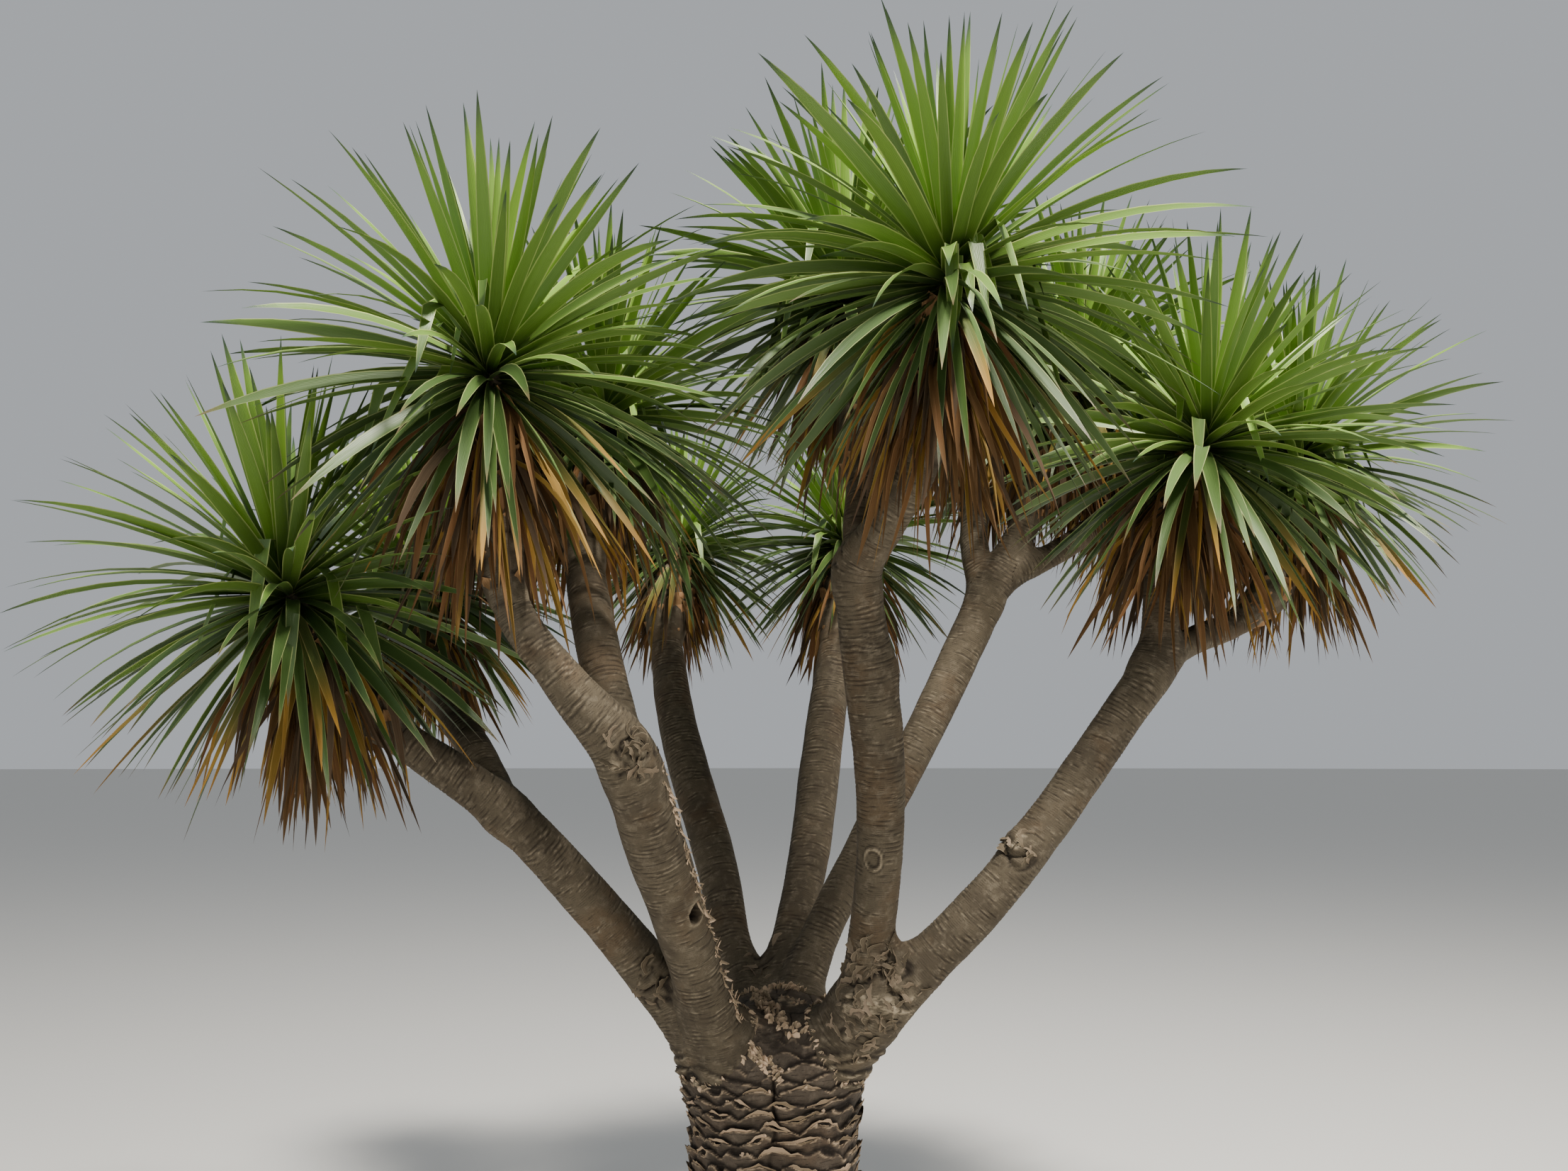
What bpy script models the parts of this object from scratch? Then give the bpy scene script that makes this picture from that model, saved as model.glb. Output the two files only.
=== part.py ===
"""A dragon tree: a short scaly trunk, boughs that fork low and a crown of sword-leaved tufts.

Metres, +Z up. The origin is on the trunk's axis in the flat cut at ground level, and -Y is the
side that is seen. Every bough follows a smooth line of growth from inside the trunk, or from its
parent bough, to the heart of its tuft. A line is divided into pieces that meet in flat faces:
a stub that belongs to the trunk, one or two tapering limbs, and the stem inside the tuft. Each
tuft is that stem with leaves set round it by a seeded rule, fused into one solid.
"""

import math
import random

import bmesh
import bpy
import numpy as np
from mathutils import Vector

for old_object in list(bpy.data.objects):
    bpy.data.objects.remove(old_object, do_unlink=True)

# Clearances
GAP = 0.0003                    # between two pieces that meet face to face
CUT_CLEARANCE = 0.0005          # between a branch and the limb that it leaves
LEAF_CLEARANCE = 0.003          # between a leaf and whatever stands near it

# Trunk
TRUNK_RADIUS = 0.197            # above the root flare
TRUNK_TOP = 1.03                # top of the dome that the boughs stand on
DOME_FOOT = 0.88                # where the dome begins
TRUNK_LEAN = 0.015              # sideways for each metre of height, towards +X
SHOULDER_SWELL = 0.014          # the trunk is a little wider just under its fork
SHOULDER_HEIGHT = 0.87
SHOULDER_SPREAD = 0.09
ROOT_FLARE = 0.085              # how much wider the foot is than the trunk
ROOT_FLARE_HEIGHT = 0.11        # height over which the flare dies away
ROOT_LOBES = 5                  # low ribs that run down into the roots
ROOT_LOBE_DEPTH = 0.020
SEAM_DEPTH = 0.020              # the groove between the two stems that the trunk grew from
SEAM_HALF_ANGLE = 0.24          # radians
TRUNK_SIDES = 26
TRUNK_HEIGHTS = (0.0, 0.03, 0.07, 0.13, 0.22, 0.36, 0.54, 0.72, 0.82, 0.89, 0.95, 1.0)

# Limbs
LIMB_SIDES = 10
LIMB_STEP = 0.10                # distance between the rings of a limb
STEM_SIDES = 6
STEM_STEP = 0.09
STEM_SWELL = 0.45               # old leaf bases thicken the stem inside a tuft
STEM_TIP = 0.45                 # the stem's radius at its tip, for a limb radius of 1

# Leaves
GREEN_LEAVES = 31               # in each tuft, from the youngest to the lowest
DEAD_LEAVES = 7                 # in the skirt that hangs round the stem
GOLDEN_ANGLE = math.pi * (3 - math.sqrt(5))
LEAF_WIDTH_RATIO = 0.09         # widest part over length, wider than life because leaves are few
LEAF_THICKNESS_RATIO = 0.0125
LEAF_ROOT_WIDTH = 0.35          # root width over the widest part
STEEPEST_LEAF = math.radians(5)
LOWEST_LEAF = math.radians(142)
SPREAD_POWER = 0.75             # below 1 sets fewer leaves near the tuft's axis
LEAF_DROOP = 0.75               # how far gravity bends a level leaf
DOUBLE_BEND_DROOP = 0.62        # a leaf that bends more than this has two rings, others have one
LEAF_ZONE = 0.17                # length of stem that carries the green leaves
DEAD_ZONE = 0.13                # length of stem below it that carries the dead ones
DEAD_LENGTH_RATIO = 0.62        # dead leaf over green leaf
LOWEST_LENGTH_RATIO = 0.74      # lowest green leaf over one at the top
LEAF_TRIES = 6                  # places that a leaf tries before it is left out
LEAF_SAMPLES = 22               # points along a leaf that are tested for clearance

# Lines of growth. Each point is x, y, z and the limb's radius. A piece is its node's name and
# the numbers of the points that it runs between. A line that leaves another limb names the
# limbs that it is cut back from, and starts on that limb's own centre line.
GROWTH = {
    "left": {
        "points": [(-0.10, -0.04, 0.86, 0.075), (-0.274, -0.125, 1.10, 0.060), (-0.572, -0.26, 1.455, 0.052),
                   (-0.83, -0.35, 1.655, 0.042), (-0.97, -0.39, 1.78, 0.040), (-1.08, -0.40, 1.975, 0.034)],
        "pieces": [("trunk", 0, 1), ("bough_left", 1, 3), ("tuft_left", 3, 5)],
        "leaf": 0.62},
    "left_back": {
        "points": [(-0.60, -0.268, 1.475, 0.040), (-0.70, -0.12, 1.61, 0.043), (-0.82, 0.06, 1.735, 0.038),
                   (-0.90, 0.20, 1.86, 0.037), (-0.97, 0.34, 2.09, 0.032)],
        "pieces": [("branch_left_back", 0, 2), ("tuft_left_back", 2, 4)],
        "leaves_from": ("bough_left",),
        "leaf": 0.56},
    "front": {
        "points": [(-0.08, -0.08, 0.85, 0.075), (-0.155, -0.22, 1.10, 0.060), (-0.24, -0.42, 1.405, 0.066),
                   (-0.30, -0.55, 1.61, 0.064), (-0.42, -0.60, 1.76, 0.046), (-0.53, -0.62, 1.915, 0.039),
                   (-0.575, -0.60, 2.10, 0.038), (-0.605, -0.55, 2.44, 0.034)],
        "pieces": [("trunk", 0, 1), ("bough_front", 1, 3), ("branch_front_outer", 3, 5), ("tuft_front", 5, 7)],
        "leaf": 0.63},
    "front_inner": {
        "points": [(-0.29, -0.53, 1.58, 0.045), (-0.335, -0.48, 1.71, 0.048), (-0.385, -0.40, 1.87, 0.048),
                   (-0.425, -0.30, 2.03, 0.046), (-0.45, -0.20, 2.22, 0.042), (-0.42, -0.08, 2.46, 0.036)],
        "pieces": [("branch_front_inner", 0, 3), ("tuft_front_inner", 3, 5)],
        "leaves_from": ("bough_front", "branch_front_outer"),
        "leaf": 0.56},
    "back_left": {
        "points": [(-0.05, 0.06, 0.87, 0.060), (-0.095, 0.23, 1.09, 0.050), (-0.163, 0.42, 1.355, 0.056),
                   (-0.265, 0.62, 1.65, 0.057), (-0.33, 0.82, 1.95, 0.050), (-0.325, 0.95, 2.13, 0.045),
                   (-0.31, 1.05, 2.30, 0.035)],
        "pieces": [("trunk", 0, 1), ("bough_back_left", 1, 4), ("tuft_back_left", 4, 6)],
        "leaf": 0.47},
    "back_middle": {
        "points": [(-0.01, 0.06, 0.87, 0.058), (0.048, 0.235, 1.115, 0.050), (0.105, 0.40, 1.355, 0.056),
                   (0.155, 0.61, 1.70, 0.057), (0.195, 0.77, 1.94, 0.052), (0.22, 0.88, 2.10, 0.046),
                   (0.235, 1.00, 2.31, 0.036)],
        "pieces": [("trunk", 0, 1), ("bough_back_middle", 1, 4), ("tuft_back_middle", 4, 6)],
        "leaf": 0.51},
    "back_right": {
        "points": [(0.03, 0.01, 0.87, 0.058), (0.11, 0.125, 1.115, 0.049), (0.23, 0.24, 1.345, 0.048),
                   (0.395, 0.35, 1.63, 0.051), (0.558, 0.44, 1.945, 0.055), (0.63, 0.47, 2.09, 0.050),
                   (0.735, 0.50, 2.28, 0.042), (0.80, 0.53, 2.44, 0.041), (0.93, 0.60, 2.76, 0.034)],
        "pieces": [("trunk", 0, 1), ("bough_back_right", 1, 5), ("branch_back_right", 5, 6),
                   ("tuft_back_right", 6, 8)],
        "leaf": 0.60},
    "back_right_inner": {
        "points": [(0.61, 0.462, 2.05, 0.040), (0.598, 0.54, 2.18, 0.041), (0.605, 0.62, 2.30, 0.041),
                   (0.64, 0.72, 2.44, 0.040), (0.74, 0.86, 2.75, 0.033)],
        "pieces": [("branch_back_right_inner", 0, 2), ("tuft_back_right_inner", 2, 4)],
        "leaves_from": ("bough_back_right", "branch_back_right"),
        "leaf": 0.60},
    "back_right_outer": {
        "points": [(0.64, 0.472, 2.105, 0.036), (0.80, 0.49, 2.185, 0.034), (0.93, 0.58, 2.27, 0.034),
                   (1.055, 0.72, 2.375, 0.034), (1.17, 0.85, 2.57, 0.031)],
        "pieces": [("branch_back_right_outer", 0, 3), ("tuft_back_right_outer", 3, 4)],
        "leaves_from": ("bough_back_right", "branch_back_right"),
        "leaf": 0.50},
    "middle": {
        "points": [(0.06, -0.03, 0.84, 0.085), (0.165, -0.10, 0.94, 0.082), (0.232, -0.14, 1.05, 0.075),
                   (0.237, -0.165, 1.175, 0.055), (0.258, -0.235, 1.43, 0.054), (0.245, -0.31, 1.68, 0.060),
                   (0.205, -0.395, 1.94, 0.053), (0.20, -0.43, 2.03, 0.052), (0.265, -0.50, 2.125, 0.044),
                   (0.32, -0.56, 2.235, 0.048), (0.36, -0.61, 2.43, 0.045), (0.392, -0.62, 2.63, 0.036)],
        "pieces": [("trunk", 0, 3), ("bough_middle", 3, 7), ("branch_middle_front", 7, 9), ("tuft_top", 9, 11)],
        "leaf": 0.65},
    "middle_back": {
        "points": [(0.20, -0.41, 1.985, 0.034), (0.205, -0.36, 2.13, 0.037), (0.218, -0.29, 2.25, 0.038),
                   (0.22, -0.18, 2.45, 0.038), (0.20, 0.0, 2.79, 0.034)],
        "pieces": [("branch_middle_back", 0, 2), ("tuft_top_back", 2, 4)],
        "leaves_from": ("bough_middle", "branch_middle_front"),
        "leaf": 0.62},
    "right": {
        "points": [(0.22, -0.13, 1.01, 0.066), (0.382, -0.155, 1.144, 0.057), (0.59, -0.175, 1.372, 0.052),
                   (0.848, -0.15, 1.712, 0.051), (0.94, -0.125, 1.845, 0.050), (0.95, -0.125, 1.99, 0.040),
                   (0.96, -0.13, 2.10, 0.038), (1.02, -0.125, 2.25, 0.037), (1.08, -0.12, 2.38, 0.033)],
        "pieces": [("trunk", 0, 1), ("bough_right", 1, 4), ("branch_right_up", 4, 6), ("tuft_right", 6, 8)],
        "leaf": 0.62},
    "right_outer": {
        "points": [(0.92, -0.13, 1.83, 0.038), (1.06, -0.05, 1.90, 0.034), (1.19, 0.05, 1.95, 0.034),
                   (1.32, 0.14, 2.05, 0.036), (1.40, 0.20, 2.21, 0.034), (1.43, 0.22, 2.42, 0.031)],
        "pieces": [("branch_right_outer", 0, 2), ("tuft_right_outer", 2, 5)],
        "leaves_from": ("bough_right", "branch_right_up"),
        "leaf": 0.58},
}

# Finishes: base colour, roughness, metallic
FINISHES = {
    "trunk_bark": ((0.30, 0.235, 0.17), 0.9, 0.0),
    "bough_bark": ((0.33, 0.285, 0.225), 0.85, 0.0),
    "foliage": ((0.13, 0.24, 0.05), 0.5, 0.0),
}


def finish_for(node):
    """The trunk's scaly bark, the boughs' smoother bark, or leaf green, by the node's name."""
    key = "foliage" if node.startswith("tuft") else "trunk_bark" if node == "trunk" else "bough_bark"
    colour, roughness, metallic = FINISHES[key]
    material = bpy.data.materials.new(node + "_" + key)
    material.use_nodes = True
    shader = material.node_tree.nodes["Principled BSDF"]
    shader.inputs["Base Color"].default_value = (*colour, 1.0)
    shader.inputs["Roughness"].default_value = roughness
    shader.inputs["Metallic"].default_value = metallic
    material.diffuse_color = (*colour, 1.0)
    return material


def line_at(points, place):
    """Point, tangent and radius on the smooth line through the points; place 2.5 is halfway
    from point 2 to point 3. The line is a Catmull-Rom curve with its end points repeated."""
    rows = np.array(points)
    last = len(rows) - 1
    index = min(int(place), last - 1)
    t = place - index
    before = rows[max(index - 1, 0)]
    start = rows[index]
    end = rows[index + 1]
    after = rows[min(index + 2, last)]
    leave = (end - before) / (2.0 if index > 0 else 1.0)
    arrive = (after - start) / (2.0 if index + 2 <= last else 1.0)
    row = ((2 * t**3 - 3 * t**2 + 1) * start + (t**3 - 2 * t**2 + t) * leave
           + (-2 * t**3 + 3 * t**2) * end + (t**3 - t**2) * arrive)
    slope = ((6 * t**2 - 6 * t) * start + (3 * t**2 - 4 * t + 1) * leave
             + (6 * t - 6 * t**2) * end + (3 * t**2 - 2 * t) * arrive)[:3]
    return row[:3], slope / np.linalg.norm(slope), row[3]


def places_along(points, first, last, step):
    """Evenly numbered places from first to last, about one step of length apart."""
    rough = [line_at(points, p)[0] for p in np.linspace(first, last, 12 * (last - first) + 1)]
    length = sum(np.linalg.norm(b - a) for a, b in zip(rough, rough[1:]))
    return np.linspace(first, last, max(2, round(length / step)) + 1)


def closed_mesh(name, rings, tip=None):
    """A closed solid through rings of equal count, with flat end faces or a pointed tip. Its sides
    are triangles, so that a limb and the same limb grown by a clearance have the same creases."""
    shape = bmesh.new()
    loops = [[shape.verts.new(Vector(point)) for point in ring] for ring in rings]
    count = len(loops[0])
    for low, high in zip(loops, loops[1:]):
        for i in range(count):
            j = (i + 1) % count
            shape.faces.new((low[i], low[j], high[j]))
            shape.faces.new((low[i], high[j], high[i]))
    shape.faces.new(list(reversed(loops[0])))
    if tip is None:
        shape.faces.new(loops[-1])
    else:
        top = shape.verts.new(Vector(tip))
        for i in range(count):
            shape.faces.new((loops[-1][i], loops[-1][(i + 1) % count], top))
    bmesh.ops.recalc_face_normals(shape, faces=shape.faces)
    mesh = bpy.data.meshes.new(name)
    shape.to_mesh(mesh)
    shape.free()
    return mesh


def add_object(name, mesh, collection=None):
    """An object for the mesh, in the scene's own collection unless another is given."""
    thing = bpy.data.objects.new(name, mesh)
    (collection or bpy.context.scene.collection).objects.link(thing)
    return thing


def limb_rings(points, places, sides, radius_at, start_shift=0.0, end_shift=0.0):
    """Rings square to the line at each place. Each ring's frame is the one before it, turned
    only as far as the line turns, so the sides of the limb don't twist. The first and the last
    ring can be shifted along the line."""
    rings = []
    side = None
    for number, place in enumerate(places):
        centre, tangent, radius = line_at(points, place)
        if side is None:
            side = np.cross(tangent, (0.0, 1.0, 0.0))
        side = side - tangent * np.dot(side, tangent)
        side = side / np.linalg.norm(side)
        up = np.cross(tangent, side)
        if number == 0:
            centre = centre + tangent * start_shift
        if number == len(places) - 1:
            centre = centre + tangent * end_shift
        size = radius_at(radius, number / (len(places) - 1))
        angles = 2 * math.pi * np.arange(sides) / sides
        rings.append([centre + size * (math.cos(a) * side + math.sin(a) * up) for a in angles])
    return rings


def limb_mesh(name, points, first, last, start_shift=0.0):
    """One tapering limb of bark."""
    places = places_along(points, first, last, LIMB_STEP)
    return closed_mesh(name, limb_rings(points, places, LIMB_SIDES, lambda r, t: r, start_shift))


def cutter_mesh(name, points, first, last):
    """The same limb, grown on every side by the clearance that a branch keeps to it."""
    places = places_along(points, first, last, LIMB_STEP)
    rings = limb_rings(points, places, LIMB_SIDES, lambda r, t: r + CUT_CLEARANCE,
                       -CUT_CLEARANCE, CUT_CLEARANCE)
    return closed_mesh(name, rings)


def keep_main_shell(mesh):
    """Fill sealed hollows and drop loose scraps: only the shell with the most volume stays."""
    shape = bmesh.new()
    shape.from_mesh(mesh)
    shape.verts.ensure_lookup_table()
    unseen = set(range(len(shape.verts)))
    shells = []
    while unseen:
        stack = [unseen.pop()]
        shell = set(stack)
        while stack:
            for edge in shape.verts[stack.pop()].link_edges:
                for vert in edge.verts:
                    if vert.index in unseen:
                        unseen.discard(vert.index)
                        shell.add(vert.index)
                        stack.append(vert.index)
        shells.append(shell)

    def volume(shell):
        total = 0.0
        for face in shape.faces:
            if face.verts[0].index in shell:
                corner = face.verts[0].co
                for a, b in zip(face.verts[1:], face.verts[2:]):
                    total += corner.dot(a.co.cross(b.co)) / 6
        return total

    if len(shells) > 1:
        main = max(shells, key=volume)
        spare = [vert for vert in shape.verts if vert.index not in main]
        bmesh.ops.delete(shape, geom=spare, context="VERTS")
        shape.to_mesh(mesh)
    shape.free()


def is_closed(mesh):
    """True where every edge of the mesh joins exactly two faces."""
    shape = bmesh.new()
    shape.from_mesh(mesh)
    whole = all(len(edge.link_faces) == 2 for edge in shape.edges)
    shape.free()
    return whole


def fuse(name, base_mesh, part_meshes):
    """One solid from a base and all the parts that grow out of it, by one Boolean union."""
    base = add_object(name, base_mesh)
    parts = bpy.data.collections.new(name + "_parts")
    bpy.context.scene.collection.children.link(parts)
    for number, mesh in enumerate(part_meshes):
        add_object(f"{name}_part_{number}", mesh, parts)
    union = base.modifiers.new("union", "BOOLEAN")
    union.operation = "UNION"
    union.operand_type = "COLLECTION"
    union.collection = parts
    for solver in ("EXACT", "MANIFOLD"):
        union.solver = solver
        view = bpy.context.evaluated_depsgraph_get()
        fused = bpy.data.meshes.new_from_object(base.evaluated_get(view))
        keep_main_shell(fused)
        if is_closed(fused):
            break
    base.modifiers.remove(union)
    base.data = fused
    for thing in list(parts.objects):
        bpy.data.objects.remove(thing, do_unlink=True)
    bpy.data.collections.remove(parts)
    return base


def trunk_radius(height, angle):
    """Trunk radius at a height and an angle: a cylinder that swells at its shoulder, flares into
    ribbed roots at its foot, is pinched by a seam front and back, and closes in a dome."""
    flare = math.exp(-height / ROOT_FLARE_HEIGHT)
    radius = TRUNK_RADIUS + ROOT_FLARE * flare
    radius += ROOT_LOBE_DEPTH * flare * math.cos(ROOT_LOBES * angle)
    radius += SHOULDER_SWELL * math.exp(-((height - SHOULDER_HEIGHT) / SHOULDER_SPREAD) ** 2)
    for seam in (-math.pi / 2, math.pi / 2):
        away = math.remainder(angle - seam, 2 * math.pi)
        radius -= SEAM_DEPTH * (1 - flare) * math.exp(-((away / SEAM_HALF_ANGLE) ** 2))
    if height > DOME_FOOT:
        rise = (height - DOME_FOOT) / (TRUNK_TOP - DOME_FOOT)
        radius *= math.sqrt(max(0.0, 1 - rise * rise))
    return radius


def build_trunk():
    """The column from the ground to its dome, with the stub of each bough fused on."""
    rings = []
    for height in TRUNK_HEIGHTS:
        ring = []
        for i in range(TRUNK_SIDES):
            angle = 2 * math.pi * i / TRUNK_SIDES
            radius = trunk_radius(height, angle)
            ring.append((TRUNK_LEAN * height + radius * math.cos(angle), radius * math.sin(angle), height))
        rings.append(ring)
    column = closed_mesh("trunk", rings, tip=(TRUNK_LEAN * TRUNK_TOP, 0.0, TRUNK_TOP))
    stubs = []
    for line in GROWTH.values():
        for node, first, last in line["pieces"]:
            if node == "trunk":
                stubs.append(limb_mesh(node, line["points"], first, last))
    return fuse("trunk", column, stubs)


def build_limbs():
    """Every bough and branch. One that leaves another limb is cut back from that limb's surface."""
    limbs = {}
    for line in GROWTH.values():
        for node, first, last in line["pieces"]:
            if node != "trunk" and not node.startswith("tuft"):
                gap = GAP if first > 0 else 0.0
                limbs[node] = (line, first, last, gap)
    for node, (line, first, last, gap) in limbs.items():
        limb = add_object(node, limb_mesh(node, line["points"], first, last, gap))
        if first == 0:
            for parent in line["leaves_from"]:
                parent_line, parent_first, parent_last, _ = limbs[parent]
                cutter = add_object(node + "_cutter", cutter_mesh(node + "_cutter", parent_line["points"],
                                                                  parent_first, parent_last))
                cut = limb.modifiers.new("cut", "BOOLEAN")
                cut.operation = "DIFFERENCE"
                cut.solver = "EXACT"
                cut.object = cutter
                view = bpy.context.evaluated_depsgraph_get()
                shaped = bpy.data.meshes.new_from_object(limb.evaluated_get(view))
                limb.modifiers.remove(cut)
                bpy.data.objects.remove(cutter, do_unlink=True)
                keep_main_shell(shaped)
                limb.data = shaped


def stem_radius(radius, part):
    """Stem radius inside a tuft: the limb's own at first, swollen by old leaf bases, then a tip."""
    swell = 1 + STEM_SWELL * min(1.0, part / 0.25)
    taper = 1.0 if part < 0.7 else 1 - (1 - STEM_TIP) * (part - 0.7) / 0.3
    return radius * swell * taper


def leaf_line(root, direction, length, droop, count):
    """Points down the middle of a leaf: it sets out along its direction, and gravity adds a pull
    that grows with the distance from the root, so that a level leaf ends in an arch."""
    part = np.linspace(0.0, 1.0, count)
    heading = direction[None, :] + np.outer(droop * part**1.5, (0.0, 0.0, -1.0))
    heading /= np.linalg.norm(heading, axis=1)[:, None]
    steps = (heading[1:] + heading[:-1]) / 2 * (length / (count - 1))
    return np.vstack([root, root + np.cumsum(steps, axis=0)]), heading


def leaf_half_width(part, width):
    """Half width of a leaf: narrow at the root, widest a third of the way out, then to a point."""
    return width / 2 * np.where(part < 0.33, LEAF_ROOT_WIDTH + (1 - LEAF_ROOT_WIDTH) * part / 0.33,
                                np.sqrt(np.clip((1 - part) / 0.67, 0, 1)) * (1 - 0.15 * part))


def leaf_mesh(name, leaf):
    """A three-sided blade: two edges and a keel below, through one or two rings to the tip."""
    points, heading = leaf_line(leaf["root"], leaf["direction"], leaf["length"], leaf["droop"], 25)
    stations = (0.0, 0.36, 0.72) if leaf["droop"] > DOUBLE_BEND_DROOP else (0.0, 0.42)
    rings = []
    for station in stations:
        index = round(station * 24)
        side = leaf["side"] - heading[index] * np.dot(leaf["side"], heading[index])
        side /= np.linalg.norm(side)
        below = np.cross(side, heading[index])
        half = float(leaf_half_width(np.array(station), leaf["width"]))
        centre = points[index]
        keel = leaf["length"] * LEAF_THICKNESS_RATIO
        rings.append([centre + side * half, centre - side * half, centre + below * keel])
    return closed_mesh(name, rings, tip=points[-1])


def samples_of(leaf):
    """Test points down a leaf, each with the leaf's half width there."""
    points, _ = leaf_line(leaf["root"], leaf["direction"], leaf["length"], leaf["droop"], LEAF_SAMPLES)
    half = leaf_half_width(np.linspace(0, 1, LEAF_SAMPLES), leaf["width"])
    return np.column_stack([points, half])


def limb_samples(points, first, last, radius_at):
    """Test points down a limb or a stem, each with the radius there."""
    places = places_along(points, first, last, 0.02)
    rows = []
    for number, place in enumerate(places):
        centre, _, radius = line_at(points, place)
        rows.append((*centre, radius_at(radius, number / (len(places) - 1))))
    return np.array(rows)


def is_clear(samples, others):
    """True where no test point comes nearer to the others than their widths and the clearance."""
    if others is None:
        return True
    away = np.linalg.norm(samples[:, None, :3] - others[None, :, :3], axis=2)
    return bool((away > samples[:, None, 3] + others[None, :, 3] + LEAF_CLEARANCE).all())


def propose_leaf(line, tuft, number, draw):
    """One leaf of a tuft: its place on the stem, its direction and its droop, by its age."""
    _, first, last = tuft
    heart, stem_way, _ = line_at(line["points"], last)
    axis = stem_way * 0.45 + np.array((0.0, 0.0, 0.75))
    axis /= np.linalg.norm(axis)
    dead = number >= GREEN_LEAVES
    if dead:
        age = (number - GREEN_LEAVES + 0.5) / DEAD_LEAVES
        back = LEAF_ZONE + DEAD_ZONE * age
        tilt = math.radians(draw.uniform(148, 164))
        length = line["leaf"] * DEAD_LENGTH_RATIO * draw.uniform(0.8, 1.1)
    else:
        age = (number + 0.5) / GREEN_LEAVES
        back = LEAF_ZONE * age
        tilt = STEEPEST_LEAF + (LOWEST_LEAF - STEEPEST_LEAF) * age**SPREAD_POWER
        tilt += math.radians(draw.uniform(-5, 5))
        length = line["leaf"] * draw.uniform(0.88, 1.04) * (1 - (1 - LOWEST_LENGTH_RATIO) * age**2)
    stem_length = sum(np.linalg.norm(line_at(line["points"], last - i / 10)[0]
                                     - line_at(line["points"], last - (i + 1) / 10)[0]) for i in range(10))
    place = max(first + 0.12, last - back / stem_length)
    centre, _, radius = line_at(line["points"], place)
    turn = number * GOLDEN_ANGLE + draw.uniform(-0.2, 0.2)
    across = np.cross(axis, (0.0, 1.0, 0.0))
    across /= np.linalg.norm(across)
    ahead = np.cross(axis, across)
    outward = math.cos(turn) * across + math.sin(turn) * ahead
    direction = math.cos(tilt) * axis + math.sin(tilt) * outward
    droop = LEAF_DROOP * math.sin(tilt) * draw.uniform(0.75, 1.2) if not dead else 0.25
    side = np.cross(axis, outward)
    return {"root": centre + outward * radius * 0.35, "direction": direction, "length": length,
            "droop": droop, "side": side, "width": length * LEAF_WIDTH_RATIO}


def build_tufts():
    """Every tuft. The leaves are placed in turns, one for each tuft, so that where two tufts
    meet they share the space; a leaf with no clear place is left out."""
    limbs = []
    tufts = {}
    for line in GROWTH.values():
        for piece in line["pieces"]:
            if piece[0].startswith("tuft"):
                tufts[piece[0]] = (line, piece)
            else:
                limbs.append(limb_samples(line["points"], *piece[1:], lambda r, t: r))
    limbs = np.vstack(limbs)
    taken = {}
    leaves = {}
    for name, (line, piece) in tufts.items():
        taken[name] = [limb_samples(line["points"], *piece[1:], stem_radius)]
        leaves[name] = []
    draw = random.Random(7)
    for number in range(GREEN_LEAVES + DEAD_LEAVES):
        for name, (line, piece) in tufts.items():
            others = np.vstack([rows for key in taken if key != name for rows in taken[key]] + [limbs])
            for _ in range(LEAF_TRIES):
                leaf = propose_leaf(line, piece, number, draw)
                samples = samples_of(leaf)
                if is_clear(samples, others):
                    taken[name].append(samples)
                    leaves[name].append(leaf)
                    break
    for name, (line, piece) in tufts.items():
        places = places_along(line["points"], *piece[1:], STEM_STEP)
        rings = limb_rings(line["points"], places, STEM_SIDES, stem_radius, GAP)
        blades = [leaf_mesh(f"{name}_leaf_{i}", leaf) for i, leaf in enumerate(leaves[name])]
        fuse(name, closed_mesh(name, rings), blades)
        print(name, len(blades), "leaves")


build_trunk()
build_limbs()
build_tufts()
for thing in bpy.context.scene.objects:
    thing.data.materials.clear()
    thing.data.materials.append(finish_for(thing.name))
    thing.data.shade_smooth()
    thing.data.set_sharp_from_angle(angle=math.radians(35))
print("triangles", sum(len(face.vertices) - 2 for thing in bpy.context.scene.objects
                       for face in thing.data.polygons))
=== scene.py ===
# %% [markdown]
# # A dragon tree, leaf by leaf
#
# The real tree is a short, thick trunk in a coat of old leaf bases. It forks low into smooth,
# ringed boughs, and each bough ends in a ball of sword leaves over a skirt of dead ones. The
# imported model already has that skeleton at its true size. This notebook dresses it: bark with
# relief takes the place of the plain limbs, and more than five thousand thin leaves take the
# place of the few broad ones that stand in for them.
#
# Every shape here is worked out with whole arrays of numbers. A limb is a grid of points in
# two directions, along it and around it. A leaf is a grid along its length and across its
# blade, and all the leaves of a tuft are worked out at once.

# %% Load the frame
import math

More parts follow.
